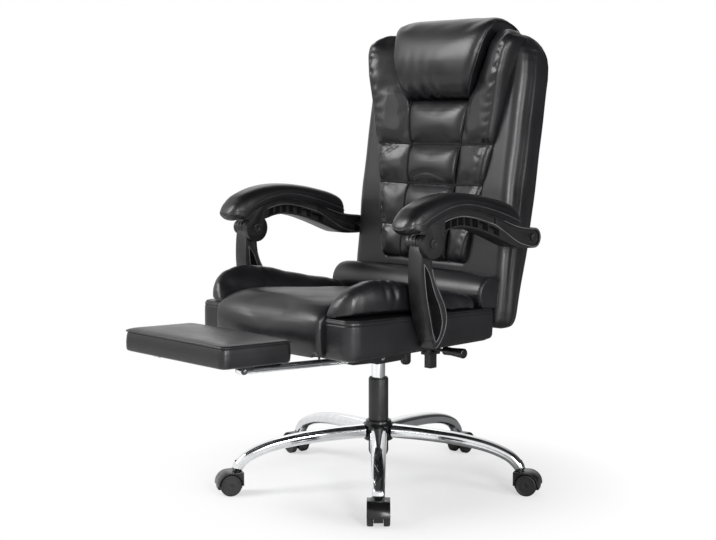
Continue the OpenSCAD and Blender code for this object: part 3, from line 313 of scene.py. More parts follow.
def sweep(name: str, path: Array, radius: float, sides: int = 8,
          closed: bool = False) -> Mesh:
    """Round cord along a path, for piping and welts.

    Each ring lies across the path: its axes are the tangent crossed with a fixed
    direction, and the tangent crossed with that.

    Args:
        name: The mesh's name.
        path: Points (k, 3) in millimetres.
        radius: Radius of the cord.
        sides: Points round the cord.
        closed: Whether the path's end runs on into its start.

    Returns:
        The cord's mesh.
    """
    ahead = np.roll(path, -1, 0) - np.roll(path, 1, 0)
    if not closed:
        ahead[0], ahead[-1] = path[1] - path[0], path[-1] - path[-2]
    ahead /= np.linalg.norm(ahead, axis=1)[:, None]
    fixed = np.array([0.31, 0.23, 0.92]) if np.ptp(path[:, 2]) < np.ptp(path[:, 0]) + np.ptp(
        path[:, 1]) else np.array([0.92, 0.31, 0.23])
    across = np.cross(ahead, fixed)
    across /= np.linalg.norm(across, axis=1)[:, None]
    up = np.cross(across, ahead)
    a = circle(sides)[None, :, None]
    rings = path[:, None] + radius * (np.cos(a) * across[:, None] + np.sin(a) * up[:, None])
    if not closed:
        return skin(name, rings, rows=0)
    m = len(path)
    i, j = np.arange(m)[:, None], np.arange(sides)[None, :]
    k, after = (j + 1) % sides, (i + 1) % m
    quads = np.stack([i * sides + j, i * sides + k, after * sides + k, after * sides + j], -1)
    return make_mesh(name, rings.reshape(-1, 3), quads.reshape(-1, 4).tolist())


def stitches(name: str, path: Array, outward: Array, length: float = 5.0,
             gap: float = 2.6, thick: float = 0.55) -> Mesh:
    """Row of lock stitches: short six-sided threads that dip at both ends.

    Args:
        name: The mesh's name.
        path: Points (k, 3) of the seam, in millimetres.
        outward: Unit vectors (k, 3) out of the leather along it.
        length: Length of a stitch.
        gap: Gap between two stitches.
        thick: Radius of the thread.

    Returns:
        One mesh with all the stitches.
    """
    run = np.concatenate([[0.0], np.cumsum(np.linalg.norm(np.diff(path, axis=0), axis=1))])
    count = max(1, int(run[-1] / (length + gap)))
    starts = (np.arange(count) + 0.5) * run[-1] / count - length / 2
    t = np.array([0.0, 0.25, 0.75, 1.0])
    at = starts[:, None] + t * length
    centre = np.stack([np.interp(at, run, path[:, k]) for k in range(3)], -1)
    out = np.stack([np.interp(at, run, outward[:, k]) for k in range(3)], -1)
    centre = centre + out * (thick * np.array([-1.6, 0.35, 0.35, -1.6]))[None, :, None]
    ahead = centre[:, -1] - centre[:, 0]
    ahead /= np.linalg.norm(ahead, axis=1)[:, None]
    side = np.cross(ahead[:, None], out)
    side /= np.maximum(np.linalg.norm(side, axis=-1), 1e-9)[..., None]
    sides, knots = 6, len(t)
    a = circle(sides)[None, None, :, None]
    rings = centre[:, :, None] + thick * (np.cos(a) * side[:, :, None]
                                          + np.sin(a) * out[:, :, None])
    base = np.arange(count)[:, None, None] * sides * knots
    i, j = np.arange(knots - 1)[None, :, None] * sides, np.arange(sides)[None, None, :]
    k = (j + 1) % sides
    quads = np.stack([base + i + j, base + i + k, base + i + sides + k, base + i + sides + j], -1)
    one = np.arange(sides)
    ends = np.concatenate([base[:, 0] + one[::-1], base[:, 0] + sides * (knots - 1) + one])
    return make_mesh(name, rings.reshape(-1, 3), quads.reshape(-1, 4).tolist() + ends.tolist())


def coordinates(mesh: Mesh) -> Array:
    """Points (k, 3) of a mesh, in millimetres.

    Args:
        mesh: The mesh.

    Returns:
        Its points.
    """
    flat = np.empty(len(mesh.vertices) * 3, np.float32)
    mesh.vertices.foreach_get("co", flat)
    return flat.reshape(-1, 3).astype(float) / MM


def set_coordinates(mesh: Mesh, points: Array) -> None:
    """Moves a mesh's points to places given in millimetres."""
    mesh.vertices.foreach_set("co", (points * MM).astype(np.float32).ravel())
    mesh.update()


def normals(mesh: Mesh) -> Array:
    """Unit normals (k, 3) at a mesh's points.

    Args:
        mesh: The mesh.

    Returns:
        Its normals.
    """
    flat = np.empty(len(mesh.vertices) * 3, np.float32)
    mesh.vertex_normals.foreach_get("vector", flat)
    return flat.reshape(-1, 3).astype(float)


def show(mesh: Mesh) -> Piece:
    """Puts a mesh in the scene as an object of the same name at the origin.

    Args:
        mesh: The mesh.

    Returns:
        The object.
    """
    piece = bpy.data.objects.new(mesh.name, mesh)
    bpy.context.scene.collection.objects.link(piece)
    return piece


def remesh(piece: Piece, voxel: float) -> None:
    """Rebuilds a piece's skin from even quads.

    Args:
        piece: The piece.
        voxel: Edge of a quad, in millimetres.
    """
    even = piece.modifiers.new("even", "REMESH")
    even.mode, even.voxel_size, even.use_smooth_shade = "VOXEL", voxel * MM, True
    graph = bpy.context.evaluated_depsgraph_get()
    mesh = bpy.data.meshes.new_from_object(piece.evaluated_get(graph))
    piece.modifiers.clear()
    mesh.name = piece.name
    piece.data = mesh


def calmed(mesh: Mesh, values: Array, rounds: int) -> Array:
    """Evens values out over a mesh's edges, as a stiff hide does with small crumples.

    Each round moves a point half way to the mean of the points it shares an edge with.

    Args:
        mesh: The mesh.
        values: Values (k, 3) at its points.
        rounds: How many rounds to run.

    Returns:
        The evened values (k, 3).
    """
    ends = np.empty(len(mesh.edges) * 2, np.int32)
    mesh.edges.foreach_get("vertices", ends)
    a, b = ends.reshape(-1, 2).T
    k = len(values)
    count = np.bincount(a, minlength=k) + np.bincount(b, minlength=k)
    for _ in range(rounds):
        sums = np.stack([np.bincount(a, values[b, i], k) + np.bincount(b, values[a, i], k)
                         for i in range(3)], 1)
        values = 0.5 * values + 0.5 * sums / count[:, None]
    return values


def inflate(piece: Piece, held: Array, pressure: float = 4.0, slack: float = 0.01,
            cap: float = 6.0, calm: int = 24, frames: int = 20) -> None:
    """Fills a sewn cover by cloth simulation, held along its seams.

    Args:
        piece: The piece, whose mesh is changed.
        held: Share (k,) from 0, free, to 1, held, of each point.
        pressure: Air pressure inside the cover.
        slack: Share by which the leather is cut larger than the form.
        cap: Largest move of any point, in millimetres.
        calm: Rounds that even out the swelling, more for a stiffer hide.
        frames: Steps of the simulation.
    """
    mesh = piece.data
    before = coordinates(mesh)
    group = piece.vertex_groups.new(name="held")
    steps = 8
    levels = np.round(np.clip(held, 0.0, 1.0) * steps).astype(int)
    for level in range(1, steps + 1):
        group.add(np.flatnonzero(levels == level).tolist(), level / steps, "REPLACE")
    cloth = piece.modifiers.new("cover", "CLOTH")
    cloth.settings.quality = 5
    cloth.settings.mass = 0.35
    cloth.settings.tension_stiffness = 18.0
    cloth.settings.compression_stiffness = 12.0
    cloth.settings.shear_stiffness = 6.0
    cloth.settings.bending_stiffness = 3.0
    cloth.settings.use_pressure = True
    cloth.settings.uniform_pressure_force = pressure
    cloth.settings.shrink_min = -slack
    cloth.settings.vertex_group_mass = "held"
    cloth.settings.effector_weights.gravity = 0.0
    cloth.point_cache.frame_start, cloth.point_cache.frame_end = 1, frames
    for frame in range(1, frames + 1):
        bpy.context.scene.frame_set(frame)
    graph = bpy.context.evaluated_depsgraph_get()
    after = coordinates(piece.evaluated_get(graph).data)
    piece.modifiers.clear()
    piece.vertex_groups.clear()
    bpy.context.scene.frame_set(1)
    move = calmed(mesh, after - before, calm) * (1.0 - held)[:, None]
    far = np.linalg.norm(move, axis=1)[:, None]
    log.info("%s swelled by up to %.1f mm", piece.name, float(far.max()))
    set_coordinates(mesh, before + move * np.minimum(1.0, cap / np.maximum(far, 1e-9)))


def gathers(points: Array, seam: Array, along: Array, depth: float, pitch: float,
            reach: float) -> Array:
    """Depth of the puckers that a seam draws into leather.

    Ridges run away from the seam. Their spacing drifts by two slow waves, and they
    fade with the distance to the seam as exp(-distance / reach).

    Args:
        points: Points (k, 3), whose place drifts the spacing.
        seam: Distance (k,) of each point from the seam.
        along: Place (k,) of each point along the seam.
        depth: Depth of a pucker beside the seam, in millimetres.
        pitch: Spacing of the puckers.
        reach: Distance over which they fade.

    Returns:
        How far (k,) each point moves in.
    """
    drift = 0.9 * np.sin(along / 47.0 + points[:, 0] / 61.0) + 0.6 * np.sin(along / 23.0 + 1.7)
    wave = np.sin(2 * math.pi * along / pitch + drift * 2.2)
    size = 0.65 + 0.35 * np.sin(along / 31.0 + 0.8)
    return depth * size * np.exp(-np.abs(seam) / reach) * (0.5 + 0.5 * wave) ** 1.5


# Finishes


def add_node(tree: Tree, kind: str, inputs: Union[Settings, Sequence[object]] = (),
             **settings: object) -> bpy.types.Node:
    """Adds a node, with its settings and what feeds it.

    Args:
        tree: The material's or world's node tree.
        kind: The node's type name, without "ShaderNode" before it.
        inputs: Values, sockets or nodes, in the order of the node's inputs or by their
            names or numbers. A node stands for its first output.
        **settings: Attributes of the node.

    Returns:
        The node.
    """
    node = tree.nodes.new(f"ShaderNode{kind}")
    for key, value in settings.items():
        setattr(node, key, value)
    for key, value in inputs.items() if isinstance(inputs, dict) else enumerate(inputs):
        if isinstance(value, bpy.types.Node):
            value = value.outputs[0]
        if isinstance(value, bpy.types.NodeSocket):
            tree.links.new(value, node.inputs[key])
        else:
            node.inputs[key].default_value = value
    return node


def open_material(name: str) -> tuple[Material, Tree]:
    """Makes an empty material with nodes.

    Args:
        name: The material's name.

    Returns:
        The material and its node tree.
    """
    material = bpy.data.materials.new(name)
    material.use_nodes = True
    material.node_tree.nodes.clear()
    return material, material.node_tree


@dataclass(frozen=True)
class Pattern:
    """A noise or a field of cells in a surface, with its size and depth in millimetres."""

    size: float
    detail: float = 3.0
    rough: float = 0.5
    warp: float = 0.0
    cells: str = ""
    disorder: float = 0.0
    depth: float = 0.0
    strength: float = 1.0


@dataclass(frozen=True)
class Surface:
    """What the finishes share: a tone that clouds colour and roughness, over a relief."""

    name: str
    dark: str
    light: str
    roughness: float
    span: ClassVar[tuple[float, float]] = (0.0, 0.0)
    optics: ClassVar[Settings] = {}
    stretch: ClassVar[tuple[float, float, float]] = (1.0, 1.0, 1.0)

    def patterns(self) -> tuple[Pattern, ...]:
        """The patterns: the first is the tone, and those with a depth make the relief."""
        raise NotImplementedError

    def build(self) -> Material:
        """Makes the material from its patterns, in object coordinates in millimetres.

        Returns:
            The material.
        """
        material, tree = open_material(self.name)
        at = add_node(tree, "Mapping", {
            "Vector": add_node(tree, "TexCoord").outputs["Object"],
            "Scale": tuple(1000.0 * part for part in self.stretch)})
        marks, relief = [], {}
        for pattern in self.patterns():
            inputs = {"Vector": at, "Scale": 1.0 / pattern.size}
            if pattern.cells:
                marks.append(add_node(tree, "TexVoronoi", {
                    **inputs, "Randomness": pattern.disorder}, feature=pattern.cells))
            else:
                marks.append(add_node(tree, "TexNoise", {
                    **inputs, "Detail": pattern.detail, "Roughness": pattern.rough,
                    "Distortion": pattern.warp}))
            if pattern.depth > 0.0:
                relief["Normal"] = add_node(tree, "Bump", {
                    "Height": marks[-1], "Distance": pattern.depth * MM,
                    "Strength": pattern.strength, **relief})
        ends = [(0.0, 1.0), tuple(self.roughness + part for part in self.span)]
        share, rough = [add_node(tree, "MapRange", (marks[0], 0.3, 0.7, *end)) for end in ends]
        colour = add_node(tree, "Mix", {0: share, 6: linear(self.dark), 7: linear(self.light)},
                          data_type="RGBA").outputs[2]
        shader = add_node(tree, "BsdfPrincipled", {
            "Base Color": colour, "Roughness": rough, **self.optics, **relief})
        add_node(tree, "OutputMaterial", {"Surface": shader})
        return material


@dataclass(frozen=True)
class BondedLeather(Surface):
    """Bonded leather: embossed pebble grain under a satin top coat, with fine creases."""

    name: str = "bonded_leather"
    dark: str = "#0f0f11"
    light: str = "#17171a"
    roughness: float = 0.36
    grain_mm: float = 1.7
    crease_mm: float = 24.0
    crease_depth: float = 0.22
    span: ClassVar[tuple[float, float]] = (-0.04, 0.05)
    optics: ClassVar[Settings] = {"IOR": 1.5}

    def patterns(self) -> tuple[Pattern, ...]:
        """Patches handled shinier, pebbles drawn coarse enough to show, and creases."""
        return (Pattern(85.0, 4.0),
                Pattern(self.grain_mm, cells="SMOOTH_F1", disorder=0.9, depth=0.09, strength=0.5),
                Pattern(self.crease_mm, 5.0, 0.55, 0.8, depth=self.crease_depth, strength=0.5))


@dataclass(frozen=True)
class MouldedPlastic(Surface):
    """Glass-filled nylon or ABS from a textured mould: fine sparkle, soft edge light."""

    grain_mm: float = 1.2
    grain_depth: float = 0.03
    span: ClassVar[tuple[float, float]] = (-0.03, 0.04)
    optics: ClassVar[Settings] = {"IOR": 1.49}

    def patterns(self) -> tuple[Pattern, ...]:
        """Slight changes of tone, and the mould's texture."""
        return Pattern(40.0, 2.0), Pattern(self.grain_mm, 2.0, depth=self.grain_depth)


@dataclass(frozen=True)
class Metal(Surface):
    """Bare or plated metal: clear reflections, broken by fine wiping marks."""

    cloud: float = 0.03
    wave_mm: float = 60.0
    wave_depth: float = 0.05
    optics: ClassVar[Settings] = {"Metallic": 1.0}

    @property
    def span(self) -> tuple[float, float]:
        """How far the haze dulls the metal."""
        return 0.0, self.cloud

    def patterns(self) -> tuple[Pattern, ...]:
        """A haze, and a slight wave of the surface."""
        return Pattern(25.0, 4.0, 0.6), Pattern(self.wave_mm, 1.0, depth=self.wave_depth)


@dataclass(frozen=True)
class PowderCoat(Surface):
    """Steel in black powder coat: orange peel and a satin sheen."""

    name: str = "powder_coated_steel"
    dark: str = "#161617"
    light: str = "#1f1f21"
    roughness: float = 0.42
    span: ClassVar[tuple[float, float]] = (-0.05, 0.08)
    optics: ClassVar[Settings] = {"IOR": 1.5}

    def patterns(self) -> tuple[Pattern, ...]:
        """A dusty tone, and orange peel of 2.5 mm."""
        return Pattern(18.0, 4.0), Pattern(2.5, 1.0, depth=0.05)


@dataclass(frozen=True)
class Plywood(Surface):
    """Raw poplar plywood: long grain across the chair, pale and dry."""

    name: str = "poplar_plywood"
    dark: str = "#a5835a"
    light: str = "#c9a97b"
    roughness: float = 0.75
    stretch: ClassVar[tuple[float, float, float]] = (0.06, 1.0, 1.0)

    def patterns(self) -> tuple[Pattern, ...]:
        """Grain 2.2 mm wide, stretched along the sheet."""
        return (Pattern(2.2, 4.0, 0.6, 0.6, depth=0.08),)


@dataclass(frozen=True)
class Nonwoven(Surface):
    """Black spun-bonded lining under seat and footrest: matt, with pressed dots."""

    name: str = "nonwoven_lining"
    dark: str = "#0d0d0e"
    light: str = "#161617"
    roughness: float = 0.9
    optics: ClassVar[Settings] = {"IOR": 1.4}

    def patterns(self) -> tuple[Pattern, ...]:
        """Loose fibres, under dots 2.4 mm apart."""
        return Pattern(1.1, depth=0.06), Pattern(2.4, cells="F1", disorder=0.1, depth=0.12)


class Finish(Enum):
    """The finishes of the chair, each with its slot in the record."""

    LEATHER = ("leather", BondedLeather())
    ARM_LEATHER = ("leather", BondedLeather("arm_pad_leather", "#0c0c0e", "#121214", 0.34,
                                            1.5, 30.0, 0.12))
    THREAD = ("leather", MouldedPlastic("bonded_nylon_thread", "#1c1c1e", "#2a2a2d", 0.5, 0.6))
    PIPING = ("leather", MouldedPlastic("arm_pad_piping", "#2c2c2f", "#3a3a3e", 0.42, 0.6))
    # A dark matt cord laid in seams and along cushion edges: painted shade of the seams
    PAINTED_SHADE = ("leather", MouldedPlastic("seam_painted_shade", "#050505", "#090909", 0.85, 0.8))
    GLOSS = ("gloss_plastic", MouldedPlastic("moulded_nylon", "#0e0e0f", "#141415", 0.27))
    SATIN = ("gloss_plastic", MouldedPlastic("satin_nylon", "#141415", "#1b1b1c", 0.4))
    # Light grey nylon of the moulded lips: a painted highlight along their edges
    PAINTED_HIGHLIGHT = ("gloss_plastic", MouldedPlastic("nylon_painted_highlight", "#4a4a4d", "#606064", 0.38))
    MATTE = ("matte_plastic", MouldedPlastic("textured_nylon", "#121213", "#1b1b1c", 0.5, 1.0,
                                             0.05))
    CHROME = ("chrome", Metal("bright_chrome", "#dfe1e3", "#eceeef", 0.06))
    STEEL = ("steel", Metal("zinc_plated_steel", "#8d9095", "#b0b3b8", 0.28, 0.1, 8.0, 0.03))
    BLACK_STEEL = ("black_steel", PowderCoat())
    PLY = ("plywood", Plywood())
    LINING = ("lining", Nonwoven())

    @property
    def slot(self) -> str:
        """The record's material slot."""
        return str(self.value[0])

    def material(self) -> Material:
        """The finish's material, made on first use."""
        known = bpy.data.materials.get(self.value[1].name)
        return known or self.value[1].build()


def dress(piece: Piece, finish: Finish) -> Piece:
    """Gives a piece its finish as its only material.

    Args:
        piece: The piece.
        finish: Its finish.

    Returns:
        The same piece.
    """
    piece.data.materials.clear()
    piece.data.materials.append(finish.material())
    return piece


def place(piece: Piece, body: str, finish: Finish, nodes: Iterable[str] = (),
          fill: Optional[Soft] = None, smooth: int = 0) -> Piece:
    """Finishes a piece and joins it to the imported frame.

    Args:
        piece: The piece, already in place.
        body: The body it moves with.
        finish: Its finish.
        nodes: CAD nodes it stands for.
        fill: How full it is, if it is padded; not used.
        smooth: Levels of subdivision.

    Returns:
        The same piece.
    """
    dress(piece, finish)
    if smooth:
        fine = piece.modifiers.new("fine", "SUBSURF")
        fine.levels = fine.render_levels = smooth
    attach(piece, body)
    names = list(nodes)
    if names:
        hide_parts(*names)
    log.info("%s rides on %s", piece.name, body)
    return piece


def cord(name: str, path: Array, radius: float, body: str, finish: Finish = Finish.LEATHER,
         sides: int = 8, closed: bool = False) -> None:
    """Lays a round cord along a path, as a piping, a welt or a lip.

    Args:
        name: The cord's name.
        path: Points (k, 3) in millimetres.
        radius: Radius of the cord.
        body: The body it moves with.
        finish: Its finish.
        sides: Points round the cord.
        closed: Whether the path's end runs on into its start.
    """
    place(show(sweep(name, path, radius, sides, closed)), body, finish)


def cover(name: str, rings: Array, voxel: float, rows: int = 3, bulge: float = 0.0) -> Piece:
    """Joins rings into a cover of even quads, ready to be inflated.

    Args:
        name: The piece's name.
        rings: Rings (m, n, 3) in millimetres.
        voxel: Edge of a quad, in millimetres.
        rows: Rings added at each end.
        bulge: How far each end stands out.

    Returns:
        The piece.
    """
    piece = show(skin(name, rings, rows, bulge))
    remesh(piece, voxel)
    return piece


def draw_in(piece: Piece, depth: Array) -> None:
    """Moves each point (k) of a piece inwards by a depth in millimetres."""
    p, n = coordinates(piece.data), normals(piece.data)
    set_coordinates(piece.data, p - n * depth[:, None])


# Rigid pieces


@dataclass
class RigidParts:
    """Carried-over CAD nodes, each redrawn with broken edges that catch the light."""

    frame: Settings
    bodies: dict[str, str] = field(default_factory=dict)
    merge_m: float = 2e-5
    level_degrees: float = 0.6

    def __post_init__(self) -> None:
        """Notes which body each node belongs to."""
        groups = self.frame["record"]["behaviour"]["bodies"]
        self.bodies = {node: body for body, nodes in groups.items() for node in nodes}

    def edge(self, node: str, finish: Finish, width: float, angle: float = 32.0) -> None:
        """Replaces a node by a merged copy with bevelled edges.

        Args:
            node: The CAD node.
            finish: Its finish.
            width: Width of the broken edge, in millimetres.
            angle: Smallest angle between faces that counts as an edge, in degrees.
        """
        mesh = self.frame["nodes"][node].data.copy()
        mesh.name = f"{node}_shell"
        work = bmesh.new()
        work.from_mesh(mesh)
        bmesh.ops.remove_doubles(work, verts=work.verts, dist=self.merge_m)
        bmesh.ops.dissolve_limit(work, angle_limit=math.radians(self.level_degrees),
                                 verts=work.verts, edges=work.edges)
        work.to_mesh(mesh)
        work.free()
        mesh.polygons.foreach_set("use_smooth", np.ones(len(mesh.polygons), bool))
        piece = show(mesh)
        if width > 0.0:
            soft = piece.modifiers.new("broken_edge", "BEVEL")
            soft.width, soft.segments = width * MM, 2
            soft.limit_method, soft.angle_limit = "ANGLE", math.radians(angle)
            soft.harden_normals = True
        else:
            mesh.set_sharp_from_angle(angle=math.radians(angle))
        place(piece, self.bodies[node], finish, [node])

    def keep(self, node: str, finish: Finish) -> None:
        """Keeps a CAD node as it is and gives it a finish."""
        dress(self.frame["nodes"][node], finish)

    def build(self) -> None:
        """Dresses every rigid node of the chair."""
        for i in range(1, 6):
            self.edge(f"caster_{i}_hood", Finish.GLOSS, 1.2)
            self.edge(f"caster_{i}_wheels", Finish.MATTE, 0.5)
        for side, _ in SIDES:
            self.edge(f"strut_{side}", Finish.SATIN, 1.2, 40.0)
            self.edge(f"armrest_{side}", Finish.SATIN, 1.0, 40.0)
            self.edge(f"arm_pivot_{side}", Finish.BLACK_STEEL, 0.5)
        widths = {
            Finish.BLACK_STEEL: {"column_tube": 0.6, "mechanism_housing": 0.6,
                                 "tilt_bracket": 0.6, "recline_brackets": 0.6,
                                 "lock_housing": 0.8, "recline_lever": 0.6, "back_bars": 0.6,
                                 "footrest_hinges": 0.5, "strut_bolts": 0.5,
                                 "rear_arm_bolts": 0.5},
            Finish.GLOSS: {"base_hub": 0.8, "recline_lever_grip": 0.6,
                           "height_lever_grip": 0.6, "tension_knob": 0.6},
            Finish.MATTE: {"guide_bush": 0.4, "footrest_guides": 0.8},
            Finish.CHROME: {"gas_cylinder": 0.4, "footrest_rails": 0.5},
            Finish.STEEL: {"piston_rod": 0.3, "thrust_bearing": 0.0, "valve_pin": 0.3,
                           "tilt_pin": 0.5, "height_lever": 0.0, "seat_bolts": 0.4,
                           "recline_hinge_pins": 0.4, "footrest_pins": 0.3},
            Finish.PLY: {"back_board": 0.5},
            Finish.LINING: {"seat_board": 0.5, "footrest_board": 0.5},
        }
        for finish, nodes in widths.items():
            for node, width in nodes.items():
                self.edge(node, finish, width)
        self.keep("tension_spring", Finish.STEEL)


@dataclass
class StarBase:
    """The five chrome legs, redrawn as one drawn tube each with a pressed tip."""

    radius: float = 351.0
    turn: float = 45.0
    tip_z: float = 60.0
    root_radius: float = 36.5
    root_z: float = 129.0
    half_width: float = 21.5
    half_height: float = 16.5
    crease: float = 0.035

    def leg(self, angle: float) -> Array:
        """Rings (m, n, 3) of one leg.

        The spine runs level from the hub and bends upright over the stem; each ring is
        a superellipse across it that narrows towards the tip.

        Args:
            angle: Direction of the leg, in radians from the X axis.

        Returns:
            The rings.
        """
        shares = np.array([[0, 1], [0.25, 0.97], [0.53, 0.87], [0.75, 0.695], [0.905, 0.435],
                           [0.98, 0.16], [1, 0]])
        run, fall = self.radius - self.root_radius, self.root_z - self.tip_z
        spine = curve(np.stack([self.root_radius + run * shares[:, 0],
                                self.tip_z + fall * shares[:, 1]], 1), 110)
        ahead = np.gradient(spine, axis=0)
        ahead[0], ahead[-1] = (1.0, 0.0), (0.0, -1.0)
        ahead /= np.linalg.norm(ahead, axis=1)[:, None]
        s = np.linspace(0.0, 1.0, len(spine))[:, None]
        a = circle(64)[None, :]
        across = (self.half_width - 7.0 * s) * power(np.cos(a), 0.8)
        up = (self.half_height - 4.0 * s) * power(np.sin(a), 0.8)
        # A pressed crease along each flank, as the drawn tube has
        across = across * (1.0 - self.crease * fade(np.sin(a), 0.16))
        r = spine[:, :1] - ahead[:, 1:] * up
        z = spine[:, 1:] + ahead[:, :1] * up
        c, q = math.cos(angle), math.sin(angle)
        return np.stack([r * c - across * q, r * q + across * c, z], -1)

    def build(self) -> None:
        """Builds the legs as one piece."""
        meshes = [skin(f"leg_{k}", self.leg(math.radians(self.turn - 90.0 + 72.0 * k)), 2)
                  for k in range(5)]
        join(meshes, "chrome_legs", "base", Finish.CHROME, ["base_legs"])


def join(meshes: Sequence[Mesh], name: str, body: str, finish: Finish,
         nodes: Iterable[str] = ()) -> Piece:
    """Joins meshes into one piece.

    Args:
        meshes: The meshes.
        name: The piece's name.
        body: The body it moves with.
        finish: Its finish.
        nodes: CAD nodes it stands for.

    Returns:
        The piece.
    """
    work = bmesh.new()
    for mesh in meshes:
        work.from_mesh(mesh)
    whole = bpy.data.meshes.new(name)
    work.to_mesh(whole)
    work.free()
    whole.polygons.foreach_set("use_smooth", np.ones(len(whole.polygons), bool))
    return place(show(whole), body, finish, nodes)


# Seat


def mirrored(half: Array, count: int) -> Array:
    """Closes half an outline (k, 2) by its mirror image and spreads count points on it."""
    other = half[1:-1][::-1] * (-1.0, 1.0)
    return spread(np.concatenate([half, other, half[:1]]), count + 1)[:-1]


def rounded_plan(half_x: float, front: float, rear: float, front_r: float, rear_r: float,
                 count: int) -> Array:
    """Plan outline of a box with round corners, larger ones at the front.

    Args:
        half_x: Half of its width.
        front: Its front, as a distance before the column axis.
        rear: Its rear, as a distance behind the column axis.
        front_r: Radius of the front corners.
        rear_r: Radius of the rear corners.
        count: How many points to return.

    Returns:
        Points (count, 2), from the middle of the rear towards +X.
    """
    a = np.linspace(0.0, math.pi / 2, 14)
    rear_corner = np.stack([half_x - rear_r + rear_r * np.sin(a),
                            rear - rear_r + rear_r * np.cos(a)], 1)
    front_corner = np.stack([half_x - front_r + front_r * np.cos(a),
                             -front + front_r - front_r * np.sin(a)], 1)
    half = np.concatenate([[[0.0, rear]], rear_corner, front_corner, [[0.0, -front]]])
    return mirrored(half, count)


